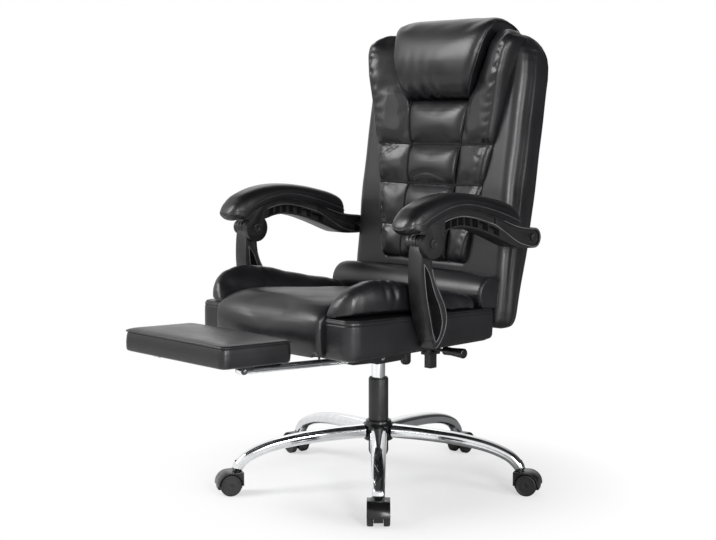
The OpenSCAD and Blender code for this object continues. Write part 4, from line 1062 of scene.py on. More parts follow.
@dataclass
class Seat:
    """Foam box, centre pad, two bolsters and the lumbar roll."""

    half_x: float = 258.0
    front: float = 341.0
    rear: float = 137.0
    pad_half: float = 176.0
    stitch_rows: tuple[float, float] = (0.865, 0.965)
    bolster_tip: float = -339.0
    roll_axis: tuple[float, float] = (126.0, 470.0)
    voxel: float = 4.5

    def box_ring(self, inset: float, share: float, count: int = 220) -> Array:
        """One ring of the foam box.

        Args:
            inset: How far it is drawn in.
            share: Its height as a share of the box's.
            count: Points of the ring.

        Returns:
            Points (count, 3).
        """
        plan = rounded_plan(self.half_x - inset, self.front - inset, self.rear - inset,
                            max(8.0, 30.0 - inset), max(6.0, 26.0 - inset), count)
        z = SEAT_Z + share * (box_top(plan[:, 1]) - SEAT_Z)
        return np.column_stack([plan, z])

    def inset(self, share: Array) -> Array:
        """How far the box's side is drawn in at a share of its height.

        A soft curve at foot and welt, with two narrow grooves under the stitches.

        Args:
            share: Shares of the height.

        Returns:
            The insets there.
        """
        base = lookup(share, [(0, 13), (0.02, 8), (0.06, 3.4), (0.14, 0.9), (0.4, 0), (0.7, 0.2),
                              (0.9, 0.8), (0.96, 2.4), (0.985, 5), (1.0, 11)])
        for row in self.stitch_rows:
            base = base + 1.5 * fade(share - row, 0.014)
        return base

    def build_box(self) -> None:
        """Builds the foam box with its double row of stitches."""
        shares = np.concatenate([np.linspace(0, 0.74, 16), np.linspace(0.76, 1.0, 40)])
        insets = self.inset(shares)
        rings = np.stack([self.box_ring(float(i), float(s)) for i, s in zip(insets, shares)])
        mesh = skin("seat_box_cover", rings, rows=6)
        place(show(mesh), "seat", Finish.LEATHER, ["seat_box"], Soft.FIRM)
        rows = []
        for k, share in enumerate(self.stitch_rows):
            ring = self.box_ring(float(self.inset(np.array([share]))[0]) - 0.3, share, 600)
            away = np.gradient(ring, axis=0)
            away = np.column_stack([-away[:, 1], away[:, 0], 0 * away[:, 0]])
            away /= np.linalg.norm(away, axis=1)[:, None]
            away *= np.sign(np.einsum("ij,ij->i", away, ring - ring.mean(axis=0)))[:, None]
            rows.append(stitches(f"seat_box_thread_{k}", np.concatenate([ring, ring[:1]]),
                                 np.concatenate([away, away[:1]])))
        join(rows, "seat_box_stitches", "seat", Finish.THREAD)

    def build_pad(self) -> None:
        """Builds the centre pad, which rolls over the front edge."""
        outer = curve([(71, 94), (0, 101), (-100, 109), (-200, 118), (-275, 123), (-322, 119),
                       (-350, 103), (-363.5, 80), (-366, 48), (-361, 18), (-352, 0)], 90)
        f = self.front + 0.6
        rise = [(y, float(box_top(y)) - SEAT_Z + 0.6) for y in (71, 0, -100, -200, -270, 16 - f)]
        under = curve(rise + [(-f - 0.4, 86), (-f - 0.8, 74), (-f - 1.2, 52), (-f - 2, 26),
                              (-f - 5, 3)], 90)
        s = bunched(64)[:, None, None]
        full = 0.42 + 0.58 * dome(s, 5.0, 0.5)
        top = under[None] + (outer - under)[None] * full
        ring = np.concatenate([top, np.repeat(under[None, ::-1], 64, 0)], 1)
        x = np.repeat(self.pad_half * s, ring.shape[1], 1)
        rings = np.concatenate([x, ring], 2)
        rings[..., 2] += SEAT_Z
        piece = cover("seat_pad_cover", rings, 5.5, rows=4)
        p = coordinates(piece.data)
        seated = 1.0 - ramp(p[:, 2] - box_top(p[:, 1]), 0.5, 6.0)
        behind = ramp(p[:, 1] + self.front, -8.0, 6.0) * (p[:, 2] < box_top(-300.0))
        rear = ramp(p[:, 1], 62.0, 8.0)
        edge = fade(np.abs(p[:, 0]) - self.pad_half, 9.0)
        low = ramp(SEAT_Z + 8.0, p[:, 2], 10.0)
        front_side = (p[:, 1] > -self.front - 8.0) & (p[:, 2] > box_top(p[:, 1]) - 4.0)
        held = np.maximum.reduce([seated * front_side, behind, rear, 0.9 * edge, low])
        inflate(piece, held, cap=3.5, calm=90)
        place(piece, "seat", Finish.LEATHER, ["seat_pad"], Soft.PLUMP, 1)
        for side, sign in SIDES:
            row = len(top) - 2 if sign > 0 else 1
            cord(f"seat_pad_welt_{side}", beside(sign * (self.pad_half - 7.0), top[row]), 2.6,
                 "seat", sides=10)

    def build_bolster(self, side: str, sign: int) -> None:
        """Builds a bolster: a pillow whose front end runs out to a tip.

        Args:
            side: "left" or "right".
            sign: +1 or -1, the side's direction along X.
        """
        left, inner, widest = sign > 0, self.pad_half + 1.0, 71.0
        table = np.array([(0, 8, 22), (5, 22, 37), (14, 38, 49), (28, 51, 61), (46, 62, 68),
                          (85, 73, 71), (118, 74, 71), (154, 71, 71), (190, 66, 71), (234, 57, 71),
                          (300, 46, 71), (361, 38, 71), (400, 31, 71), (409, 26, 70)], float)
        at = spread(np.column_stack([table[:, 0], table[:, 0] * 0]), 84)[:, 0]
        high = np.interp(at, table[:, 0], table[:, 1])
        wide = np.interp(at, table[:, 0], table[:, 2])
        y = self.bolster_tip + at
        foot = box_top(np.maximum(y, 14.0 - self.front)) + 0.6
        a = np.linspace(0, math.pi, 34)[None, :]
        # The right bolster slopes gently on the side that faces the seat
        over = 0.5 - 0.5 * power(np.cos(a), 0.72 if left else 1.0)
        x = inner + wide[:, None] * over ** (1.0 if left else 0.8)
        # The outer edge stands off the box and leaves a dark gap under it
        gap = lookup(at, [(0, 1.3), (200, 1), (400, 0.2)])[:, None]
        lift = 8.0 * ((x - inner) / widest) ** 2 * gap
        round_top = power(np.sin(a), 0.8 if left else 1.0)
        z = foot[:, None] + 3.0 + (high[:, None] - 3.0) * round_top + lift
        base_x = x[:, ::-1][:, 1:-1:3]
        base_z = foot[:, None] + lift[:, ::-1][:, 1:-1:3]
        xs, zs = np.concatenate([x, base_x], 1), np.concatenate([z, base_z], 1)
        rings = stations(sign * xs, y[:, None], zs)
        piece = cover(f"seat_bolster_cover_{side}", rings, self.voxel)
        p = coordinates(piece.data)
        seat = 1.0 - ramp(p[:, 2] - box_top(np.maximum(p[:, 1], -311.0)), 1.0, 6.0)
        near = 1.0 - ramp(np.abs(p[:, 0]), inner, 5.0)
        held = np.maximum.reduce([seat, 0.6 * near, ramp(p[:, 1], 55.0, 10.0)])
        inflate(piece, held, slack=0.02, calm=30)
        p = coordinates(piece.data)
        rise = p[:, 2] - box_top(p[:, 1])
        pucker = gathers(p, np.abs(rise - 2.0), p[:, 1], 1.5 if left else 0.7, 31.0, 14.0)
        # Three pleats over the crown, where the leather turns down to the seat
        along = p[:, 1] + 196.0
        pleat = (4.5 if left else 0.8) * fade(along, 34.0) * ramp(rise, 26.0, 30.0)
        pucker += pleat * (0.5 + 0.5 * np.cos(along / 4.6)) ** 2
        draw_in(piece, pucker * ramp(rise, 0.0, 6.0))
        place(piece, "seat", Finish.LEATHER, [f"seat_bolster_{side}"], Soft.PLUMP, 1)

    def build_roll(self) -> None:
        """Builds the lumbar roll with its piped end discs."""
        half, (yc, zc) = self.half_x - 8.0, self.roll_axis
        s = bunched(72)[:, None]
        r = (45.0 + 6.5 * (1 - s ** 2)) * np.clip(1 - np.abs(s) ** 60, 0.2, 1) ** 0.05
        a = circle(96)[None, :]
        y, z = yc + r * np.cos(a), zc + r * np.sin(a)
        # Flat where it lies on the box and against the back
        z = np.maximum(z, box_top(y) + 0.6)
        wall = BACK_Y + 10.4 / math.cos(BACK_TILT) + (z - BACK_Z) * math.tan(BACK_TILT)
        y = np.minimum(y, wall)
        rings = np.stack([np.repeat(half * s, 96, 1), y, z], -1)
        piece = show(skin("lumbar_roll_cover", rings, rows=8, bulge=1.5))
        p = coordinates(piece.data)
        end = half - np.abs(p[:, 0])
        around = np.degrees(np.arctan2(p[:, 2] - zc, p[:, 1] - yc))
        draw_in(piece, gathers(p, end, around, 1.0, 13.0, 16.0) * (end > 1.0))
        place(piece, "seat", Finish.LEATHER, ["lumbar_roll"], Soft.FIRM)
        for side, sign in SIDES:
            row = 1 if sign < 0 else len(rings) - 2
            ring = rings[row].copy()
            ring[:, 0] = sign * (half - 1.0)
            cord(f"lumbar_roll_piping_{side}", ring, 1.7, "seat", closed=True)

    def build(self) -> None:
        """Builds the whole seat."""
        self.build_box()
        self.build_pad()
        for side, sign in SIDES:
            self.build_bolster(side, sign)
        self.build_roll()


# Back


@dataclass
class Back:
    """Shell, channelled centre cushion, gathered wings and head pillow."""

    half_x: float = 255.0
    length: float = 706.0
    thick: float = 114.0
    seams: tuple[float, ...] = (146.0, 228.0, 333.0, 432.0, 543.0)
    shoulder: float = 660.0
    pillow_foot: float = 546.0
    valley: float = 13.0
    rear: float = 29.6
    face_depth: float = 20.0
    # How near a seam the points lie that guide its painted shade cord
    painted_shade_reach: float = 2.6
    stitch_rows: tuple[float, float] = (36.0, 43.0)
    edge_radii: tuple[float, float] = (28.0, 22.0)
    panel_bulge: float = 14.0
    flank_bulge: float = 5.0
    voxel: float = 4.5

    def column_x(self, height: Array) -> Array:
        """Half width of the centre cushion at a height.

        Args:
            height: Heights along the back.

        Returns:
            Half widths there.
        """
        foot, _, third, fourth, last = self.seams
        return lookup(height, [(foot, 74), (third, 78), (fourth, 84), (last, 101)])

    def wing_x(self, height: Array) -> Array:
        """Outer edge of a wing at a height."""
        return 138.0 + 0.187 * (np.asarray(height) - self.seams[0])

    def ridge(self, height: Array) -> Array:
        """Depth of a wing's ridge at a height.

        Args:
            height: Heights along the back.

        Returns:
            Depths there, negative towards the front.
        """
        return lookup(height, [(146, -9), (339, -14), (410, -18), (459, -25), (501, -30),
                               (540, -36), (572, -42), (600, -47), (650, -48), (680, -41),
                               (704, -26)])

    def pillow_x(self, height: Array) -> Array:
        """Half width of the head pillow at a height.

        Args:
            height: Heights along the back.

        Returns:
            Half widths there.
        """
        return 103.0 + 55.0 * lookup(np.asarray(height) - self.pillow_foot, [
            (3, 0), (19, 0.2), (34, 0.33), (54, 0.46), (74, 0.6), (94, 0.71), (134, 0.86),
            (174, 1)])

    def shell_ring(self, h: float, side: float, fore: float, aft: float,
                   count: int = 300) -> Array:
        """One ring of the shell: round front edges, bulged rear panel.

        Args:
            h: Its height.
            side: How far the sides are drawn in.
            fore: How far the front is drawn in.
            aft: How far the rear is drawn in.
            count: Points of the ring.

        Returns:
            Points (count, 3).
        """
        front = float(lookup(h, [(0, 22), (139, 11), (203, 8), (280, 2), (330, 0)])) + fore
        rear = float(lookup(h, [(0, 88), (30, 96), (200, self.thick - 4),
                                (400, self.thick)])) - aft
        w, most = self.half_x - 2.0 - side, 0.46 * (rear - front)
        e, g = (min(radius, most) for radius in self.edge_radii)
        a = np.linspace(0, math.pi / 2, 24)
        front_edge = np.stack([w - e + e * np.sin(a), front + e - e * np.cos(a)], 1)
        rear_edge = np.stack([w - g + g * np.cos(a), rear - g + g * np.sin(a)], 1)
        x = np.linspace(w - g, 0.0, 14)[1:]
        panel = np.stack([x, rear + self.panel_bulge * (1 - (x / (w - g)) ** 2)], 1)
        # The side panel stands out a little between its two edges
        q = np.linspace(-0.9, 0.9, 13)
        crown = min(self.flank_bulge, 0.06 * (rear - front)) * (1 - q ** 2)
        middle, half_depth = (front + e + rear - g) / 2, (rear - g - front - e) / 2
        flank = np.stack([w + crown, middle + q * half_depth], 1)
        half = np.concatenate([[[0.0, front]], front_edge, flank, rear_edge, panel])
        plan = mirrored(half, count)
        return on_back(plan[:, 0], plan[:, 1], h)

    def build_shell(self) -> None:
        """Builds the upholstered shell with the stitched seams of its side panels."""
        top = self.length
        rows = np.array([(0, 24, 16, 16), (1.5, 17, 11, 11), (5, 9, 5, 5), (11, 3.5, 1.5, 1.5),
                         (20, 1, 0.3, 0.3), (40, 0, 0, 0), (top - 100, 0, 0, 0),
                         (top - 70, 1.5, 0, 2.5), (top - 52, 4, 0.3, 6), (top - 36, 9, 1.2, 11),
                         (top - 23, 16, 3.5, 17), (top - 12, 25, 8, 24), (top - 4, 36, 13, 31),
                         (top, 49, 19, 38)], float)
        h = np.unique(np.concatenate([np.linspace(0, 40, 14), np.linspace(40, top - 100, 60),
                                      np.linspace(top - 100, top, 40)]))
        size = [np.interp(h, rows[:, 0], rows[:, k]) for k in (1, 2, 3)]
        rings = np.stack([self.shell_ring(*map(float, row)) for row in zip(h, *size)])
        piece = show(skin("back_shell_cover", rings, rows=8, bulge=0.5))
        p, depth, height = self.points(piece)
        n = normals(piece.data)
        flank = np.clip(np.abs(n[:, 0]) * 2.0 - 0.6, 0, 1)
        groove = sum(1.3 * fade(depth - at, 1.6) for at in self.stitch_rows)
        # Slack leather of the side panel: slow waves along the seam
        wave = 0.9 * np.sin(height / 37.0 + depth / 19.0) * np.sin(height / 88.0 + 0.6)
        # Bed of the cushions: the cover is pressed in behind them
        inside = (np.abs(p[:, 0]) < self.wing_x(height) - 6.0) & (height > 150.0) & (depth < 40.0)
        p = p - n * ((groove + wave * (height < top - 40)) * flank)[:, None]
        sunk = np.where(inside, np.clip(28.0 - depth, 0.0, 30.0), 0.0)
        p = p + sunk[:, None] * (on_back(0.0, 1.0, 0.0) - on_back(0.0, 0.0, 0.0))
        set_coordinates(piece.data, p)
        place(piece, "back", Finish.LEATHER, ["back_shell"], Soft.FIRM)
        threads = []
        for side, sign in SIDES:
            for k, at in enumerate(self.stitch_rows):
                line = np.linspace(24.0, top - 52.0, 400)
                path = on_back(sign * (self.half_x + 0.5), at, line)
                out = np.tile([float(sign), 0.0, 0.0], (len(line), 1))
                threads.append(stitches(f"shell_thread_{side}_{k}", path, out, 4.4, 2.2, 0.45))
        join(threads, "back_shell_stitches", "back", Finish.THREAD)

    def points(self, piece: Piece) -> tuple[Array, Array, Array]:
        """Points of a piece, with their places in the back's own frame.

        Args:
            piece: The piece.

        Returns:
            Points (k, 3) in millimetres, depths (k,) and heights (k,).
        """
        c, s = math.cos(BACK_TILT), math.sin(BACK_TILT)
        points = coordinates(piece.data)
        y, z = points[:, 1] - BACK_Y, points[:, 2] - BACK_Z
        return points, y * c - z * s, y * s + z * c

    def build_column(self) -> None:
        """Builds the centre cushion: four channels between sewn seams."""
        h = np.linspace(self.seams[0], self.seams[-1], 110)[:, None]
        full = swell(h, self.seams)
        s = bunched(44)[None, :]
        w = self.column_x(h) - 0.5
        crown = 0.5 + 0.5 * dome(s, 5.0, 0.6)
        depth = self.valley - (3.0 + 24.0 * full) * crown
        front = on_back(w * s, depth, h + 0 * s)
        rear = on_back(w * np.linspace(1, -1, 20)[None, :], self.rear, h + np.zeros((1, 20)))
        piece = cover("back_cushion_cover", np.concatenate([front, rear], 1), self.voxel)
        p, depth, height = self.points(piece)
        gap = gap_to(height, self.seams)
        side = self.column_x(height) - np.abs(p[:, 0])
        held = np.maximum.reduce([ramp(depth, 11.0, 5.0), fade(gap, 4.0), fade(side, 5.0)])
        inflate(piece, held, cap=4.0, calm=16)
        p, depth, height = self.points(piece)
        gap = gap_to(height, self.seams[1:4])
        pucker = gathers(p, gap, p[:, 0], 0.9, 26.0, 7.0) * (depth < self.face_depth)
        # The fold that sags over the third seam, as an arch
        aside = p[:, 0] + 6.0
        arch = height - (self.seams[2] + 8.0 + 19.0 * (1.0 - (aside / 62.0) ** 2))
        near = ramp(66.0, np.abs(aside), 20.0) * (depth < 8.0)
        pucker += near * (2.6 * fade(arch, 4.0) - 1.4 * fade(arch + 8, 5.0))
        draw_in(piece, pucker)
        # A dark matt cord in each seam paints the seam's shade
        self.paint_seam_shade(piece, "back_cushion", self.seams[1:4])
        # Dark matt cords along both sides of the cushion paint the shade of the gaps beside the
        # wings
        at = np.linspace(self.seams[0] + 6.0, self.seams[-1] - 4.0, 90)
        sunk = self.valley - 4.0 - 12.0 * swell(at[:, None], self.seams)[:, 0]
        for side, sign in SIDES:
            path = on_back(sign * self.column_x(at), sunk, at)
            cord(f"back_cushion_edge_{side}", path, 2.8, "back", Finish.PAINTED_SHADE)
        place(piece, "back", Finish.LEATHER, ["back_cushion"], Soft.PLUMP, 1)

    def paint_seam_shade(self, piece: Piece, name: str, seams: Sequence[float]) -> None:
        """Lays a dark matt cord into each level seam of a cushion, as painted shade in the seam.

        The cord follows the cushion's own points beside the seam.

        Args:
            piece: The cushion.
            name: First part of the cords' names.
            seams: Heights of the seams.
        """
        p, depth, height = self.points(piece)
        for k, seam in enumerate(seams):
            near = (np.abs(height - seam) < self.painted_shade_reach) & (depth < self.face_depth)
            order = np.argsort(p[near, 0])
            x, d = p[near, 0][order], depth[near][order]
            at = np.linspace(x[0] + 2.0, x[-1] - 2.0, 64)
            line = np.interp(at, x, d)
            line[2:-2] = sum(line[i:len(line) - 4 + i] for i in range(5)) / 5.0
            path = on_back(at, line - 0.8, seam)
            cord(f"{name}_binding_{k}", path, 2.0, "back", Finish.PAINTED_SHADE)

    def build_wing(self, side: str, sign: int) -> None:
        """Builds a wing: a panel that rises to a welted ridge, then turns straight back.

        Args:
            side: "left" or "right".
            sign: +1 or -1, the side's direction along X.
        """
        top, foot, fourth, last = self.length + 4.0, self.seams[0], self.seams[3], self.seams[-1]
        arc = np.sin(np.linspace(0, math.pi / 2, 24))[1:]
        h = np.concatenate([np.linspace(foot, self.shoulder, 100),
                            self.shoulder + (top - self.shoulder) * arc])[:, None]
        inner = np.where(h <= last, self.column_x(h) + 0.5, np.maximum(
            self.column_x(last) + 0.5, self.pillow_x(h) + 1.0))
        outer = self.wing_x(h) - 1.0
        above = (h - self.shoulder) / (top + 1 - self.shoulder)
        lobe = np.where(above > 0, np.sqrt(np.clip(1 - np.abs(above) ** 2.4, 0.02, 1)), 1.0)
        outer = inner + (outer - inner) * (0.35 + 0.65 * lobe)
        rise = 1 - (1 - ramp(h, fourth, 38.0)) ** 2.6
        full = np.where(h < fourth, 0.6 + 0.4 * swell(h, self.seams), 0.6 + 0.4 * rise ** 0.6)
        full = full * (0.4 + 0.6 * np.sqrt(ramp(h, foot, 14.0)))
        peak = (self.valley - self.ridge(h)) * full * (0.25 + 0.75 * lobe)
        shape = curve([(0.0, 0.4), (0.03, 0.43), (0.1, 0.48), (0.25, 0.6), (0.45, 0.76),
                       (0.62, 0.9), (0.76, 0.99), (0.86, 1.0), (0.93, 0.94), (0.98, 0.82),
                       (1.005, 0.6), (1.005, 0.3), (1.0, 0.0)], 60)
        u, v = shape[None, :, 0], shape[None, :, 1]
        front = on_back(inner + (outer - inner) * u, self.valley - peak * v, h + 0 * u)
        back_u = np.linspace(1, 0, 20)[None, :]
        rear = on_back(inner + (outer - inner) * back_u, self.rear, h + 0 * back_u)
        rings = np.concatenate([front, rear], 1) * (sign, 1, 1)
        piece = cover(f"back_wing_cover_{side}", rings, self.voxel)
        p, depth, height = self.points(piece)
        across = np.abs(p[:, 0])
        left = across - np.where(height < last, self.column_x(height), self.pillow_x(height))
        ridge = self.wing_x(height) - 13.0 - across
        held = np.maximum.reduce([
            ramp(depth, 12.0, 5.0), fade(gap_to(height, self.seams[:4]), 4.0),
            fade(left, 5.0) * (height < self.shoulder), 0.9 * fade(ridge, 5.0),
            0.7 * (ridge < 0.0)])
        inflate(piece, held, slack=0.015, cap=4.0, calm=10)
        p, depth, height = self.points(piece)
        across = np.abs(p[:, 0])
        ridge = self.wing_x(height) - 15.0 - across
        upper = ramp(height, 425.0, 30.0, 0.35)
        # Gathers on the inner side of the welt, and the sunk line of the welt itself
        pucker = gathers(p, np.abs(ridge - 5.0), height, 3.6, 24.0, 9.0) * upper * (ridge > -1.0)
        pucker += 1.4 * fade(ridge, 1.8) * (depth < 6.0)
        pucker += gathers(p, gap_to(height, self.seams[1:4]), across, 1.1, 21.0, 8.0)
        # A fold that runs off below the fourth seam
        fold = height - 428.0 + 0.75 * (across - 120.0)
        pucker += 2.0 * fade(fold, 3.5) * (height < 428.0) * (height > 396.0) * (depth < 10.0)
        draw_in(piece, pucker)
        # A dark matt cord in each seam paints the seam's shade
        self.paint_seam_shade(piece, f"back_wing_{side}", self.seams[1:4])
        place(piece, "back", Finish.LEATHER, [f"back_wing_{side}"], Soft.PLUMP, 1)

    def build_pillow(self) -> None:
        """Builds the head pillow, which laps over the shell's top."""
        section = curve([(28, 549), (8, 546), (-12, 550), (-29, 563), (-42, 588), (-48, 618),
                         (-49, 648), (-43, 682), (-32, 709), (-15, 731), (6, 743), (32, 747),
                         (60, 743), (83, 732), (94, 719), (93, 709), (64, 707.6), (34, 707),
                         (29.4, 700), (29.4, 620)], 130, closed=True)
        s = bunched(80)[:, None]
        d, h = section.T[:, None]
        middle, brow, ends = 16.0, 712.0, dome(s, 12.0, 0.5)
        # Towards both ends the front is flatter and the top lower
        depth = np.where(d < middle, middle + (d - middle) * (0.62 + 0.38 * ends), d)
        height = h - np.clip(h - brow, 0, 99) * 0.45 * (1 - ends)
        x = self.pillow_x(height) * s * (1 - 0.02 * (1 - ends))
        rings = on_back(x, depth, height)
        piece = cover("head_pillow_cover", rings, 5.0, rows=6, bulge=3.0)
        p, depth, height = self.points(piece)
        end = self.pillow_x(height) - np.abs(p[:, 0])
        low = np.hypot(depth - 8.0, height - self.pillow_foot)
        held = np.maximum.reduce([ramp(depth, 22.0, 5.0) * (height < 704),
                                  ramp(709.5, height, 2.0) * (depth > 24.0),
                                  0.85 * fade(end, 9.0), fade(low, 10.0)])
        inflate(piece, held, cap=5.0, calm=24)
        p, depth, height = self.points(piece)
        # Soft vertical pleats that rise from the lower edge, deeper on the right side
        above = np.maximum(height - self.pillow_foot - 10.0, 0.0)
        low = fade(above, 52.0) * (depth < self.face_depth)
        inward = ramp(self.pillow_x(height), np.abs(p[:, 0]), 24.0)
        wave = 0.5 + 0.5 * np.sin(p[:, 0] / 6.0 + 0.7 * np.sin(height / 23.0 + p[:, 0] / 31.0))
        pleat = 5.0 * low * inward * wave * ramp(60.0, p[:, 0], 90.0, 0.15)
        draw_in(piece, pleat)
        place(piece, "back", Finish.LEATHER, ["head_pillow"], Soft.PLUMP, 1)
        for side, sign in SIDES:
            row = rings[4 if sign < 0 else len(rings) - 5]
            # The piping stands a trace outside the cover and ends where the lap begins
            seen = row[:96]
            piping = seen + (seen - row.mean(0)) * (0.0, 0.006, 0.006)
            cord(f"head_pillow_piping_{side}", piping, 1.8, "back")

    def build(self) -> None:
        """Builds the whole back."""
        self.build_shell()
        self.build_column()
        for side, sign in SIDES:
            self.build_wing(side, sign)
        self.build_pillow()


def gap_to(height: Array, seams: Sequence[float]) -> Array:
    """Distance (k,) from each height to the nearest seam."""
    return np.min(np.abs(height[:, None] - np.array(seams, float)[None]), axis=1)


# Arms and footrest


@dataclass
class ArmPads:
    """Padded tops of the armrests: full leather tubes, seamed along their foot."""

    reach: float = 296.0
    half: float = 40.0
    strut_out: float = 3.8
    frame_out: float = 19.8
    strut_lip: float = 1.1
    frame_lip: float = 1.0

    def build_pad(self, side: str, sign: int) -> None:
        """Builds one pad.

        Args:
            side: "left" or "right".
            sign: +1 or -1, the side's direction along X.
        """
        centre = sign * self.reach - 15.0
        crest = curve([(-221, 281, 0.10), (-220, 287, 0.36), (-213, 300, 0.64), (-201, 313, 0.84),
                       (-180, 329, 0.95), (-132, 345, 1.0), (-83, 352, 1.0), (-34, 352, 1.0),
                       (19, 346, 1.0), (71, 336, 0.98), (115, 325, 0.93), (145, 313, 0.82),
                       (158, 302, 0.64), (163.5, 290, 0.36)], 96)
        upper = [(-221, 280), (-217, 272), (-209, 266), (-192, 266), (-170, 284), (-146, 297),
                 (-93, 315), (-34, 319), (53, 299), (140, 271), (196, 263)]
        foot = np.interp(crest[:, 0], *curve(upper, 80).T) + 0.6
        a = np.linspace(0, math.pi, 54)[None, :]
        w = self.half * crest[:, 2:3]
        x = centre - w * power(np.cos(a), 0.6)
        # The nose is round below as well: its seam climbs to half its height
        full = crest[:, 1:2] - foot[:, None]
        climb = 0.5 * full * ramp(-176.0, crest[:, :1], 30.0) - 4.0
        z = foot[:, None] + climb + (full - climb) * power(np.sin(a), 0.66)
        flat = x[:, ::-1][:, 2:-2:4]
        share = np.abs(flat - centre) / np.maximum(w, 1.0)
        under = foot[:, None] + np.maximum(climb, 0.0) * np.clip(share, 0, 1) ** 2.2
        xs, zs = np.concatenate([x, flat], 1), np.concatenate([z, under], 1) + SEAT_Z
        rings = stations(xs, crest[:, :1], zs)
        piece = show(skin(f"arm_pad_cover_{side}", rings, rows=4))
        place(piece, f"armrest_{side}", Finish.ARM_LEATHER, [f"arm_pad_{side}"], Soft.FIRM, 1)
        # The welt and its stitches run along one flank, round the nose and back
        middle, most, seam, thread = rings.mean(axis=1), a.size - 1, 3, 7
        welt = np.concatenate([rings[:0:-1, seam], rings[:, most - seam]])
        cord(f"arm_pad_welt_{side}", welt, 1.3, f"armrest_{side}", Finish.PIPING)
        line = np.concatenate([rings[:0:-1, thread], rings[:, most - thread]])
        out = line - np.concatenate([middle[:0:-1], middle])
        out /= np.linalg.norm(out, axis=1)[:, None]
        join([stitches(f"arm_pad_thread_{side}", line, out, 4.4, 2.2, 0.5)],
             f"arm_pad_stitches_{side}", f"armrest_{side}", Finish.THREAD)

    def build_lips(self, side: str, sign: int) -> None:
        """Builds the moulded lips of a strut and of the armrest frame over it, in light grey as a
        painted highlight along their edges.

        Args:
            side: "left" or "right".
            sign: +1 or -1, the side's direction along X.
        """
        pocket = curve([(-160, 203), (-156, 159), (-149, 119), (-139, 78), (-124, 30), (-110, 40),
                        (-101, 66), (-107, 98), (-127, 140), (-143, 180), (-160, 203)], 150)[:-1]
        edge = curve([(-123, 14), (-114, 19), (-97.5, 40), (-87.5, 70), (-91.5, 99),
                      (-109, 133.5), (-126, 163.5), (-134, 189)], 90)
        # The light grey of these lips is a painted highlight of the moulded edges
        for name, line in (("pocket", pocket), ("edge", edge)):
            trace = beside(sign * self.reach + self.strut_out, line)
            cord(f"strut_{name}_lip_{side}", trace, self.strut_lip, f"strut_{side}",
                 Finish.PAINTED_HIGHLIGHT, closed=name == "pocket")
        # On the armrest the lip parts the windows from the channel and rounds the rear eye
        low = curve([(-192, 270), (-160, 268), (-120, 269), (-91, 276), (-53, 278), (2, 268),
                     (44, 255), (85, 240), (118, 227), (148, 218), (194, 215.5)], 90)
        high = curve([(-192, 272), (-170, 286), (-146, 297), (-93, 315), (-34, 319), (53, 299),
                      (140, 271), (196, 263)], 80)
        y = np.concatenate([np.linspace(-112, 190, 90), np.linspace(190, 90, 30)])
        share = np.where(np.arange(120) < 90, 0.57 - 0.5 * ramp(y, 60.0, 130.0), 0.94)
        z = (1 - share) * np.interp(y, *low.T) + share * np.interp(y, *high.T)
        a = np.radians(np.linspace(-72, 72, 24))
        eye = np.stack([200.0 + 21.0 * np.cos(a), 239.0 + 21.0 * np.sin(a)], 1)
        parting = np.stack([y, z], 1)
        line = spread(np.concatenate([parting[:90], eye, parting[90:]]), 180)
        # The light grey lip is a painted highlight along the armrest's moulded edge
        trace = beside(sign * self.reach + self.frame_out, line)
        cord(f"armrest_lip_{side}", trace, self.frame_lip, f"armrest_{side}", Finish.PAINTED_HIGHLIGHT)

    def build(self) -> None:
        """Builds the pads, and the lips of the struts and armrests."""
        for side, sign in SIDES:
            self.build_pad(side, sign)
            self.build_lips(side, sign)


@dataclass
class Footrest:
    """Upholstered block of the footrest, with a welt round its upper edge."""

    half_x: float = 174.0
    length: float = 190.0
    lift: float = 10.0
    hinge: tuple[float, float] = (-545.0, 365.0)
    tilt_degrees: float = 2.2

    def local(self, x: Array, v: Array, w: Array) -> Array:
        """Places points of the footrest's own frame, tilted 2.2 degrees about its hinge.

        Args:
            x: Across the chair.
            v: Rearwards along the pad.
            w: Up, square to the pad.

        Returns:
            Points (..., 3) in millimetres.
        """
        tilt = math.radians(self.tilt_degrees)
        c, s = math.cos(tilt), math.sin(tilt)
        x, v, w = np.broadcast_arrays(x, v, w)
        return np.stack([x, self.hinge[0] + v * c + w * s, self.hinge[1] - v * s + w * c], -1)

    def build(self) -> None:
        """Builds the pad and its welt."""
        rows = np.array([(7, 0), (3, 1.5), (1, 4), (0.3, 10), (0.0, 20), (0.8, 33), (2.0, 40),
                         (3.2, 42.5), (1.8, 44), (1.6, 46), (4, 48.0), (14, 50.6), (34, 52.6),
                         (60, 53.6), (80, 53.8)], float)
        t = np.linspace(0, len(rows) - 1, 70)
        inset = np.interp(t, np.arange(len(rows)), rows[:, 0])
        high = np.interp(t, np.arange(len(rows)), rows[:, 1])
        mid = 0.12 * self.length
        rings = []
        for i, w in zip(inset, high):
            plan = rounded_plan(self.half_x - i, self.length / 2 - i, self.length / 2 - i,
                                max(5.0, 15 - i / 3), max(5.0, 15 - i / 3), 180)
            sag = 1.0 * np.cos(plan[:, 0] / self.half_x * math.pi / 2)
            rings.append(self.local(plan[:, 0], plan[:, 1] + mid, self.lift + w + sag * (w > 47)))
        piece = show(skin("footrest_pad_cover", np.stack(rings), rows=5))
        place(piece, "footrest", Finish.LEATHER, ["footrest_pad"], Soft.FIRM, 1)
        plan = rounded_plan(self.half_x - 0.6, self.length / 2 - 0.6, self.length / 2 - 0.6, 15, 15,
                            240)
        path = self.local(plan[:, 0], plan[:, 1] + mid, self.lift + 44.6)
        cord("footrest_pad_welt", path, 1.7, "footrest", closed=True)


# Studio


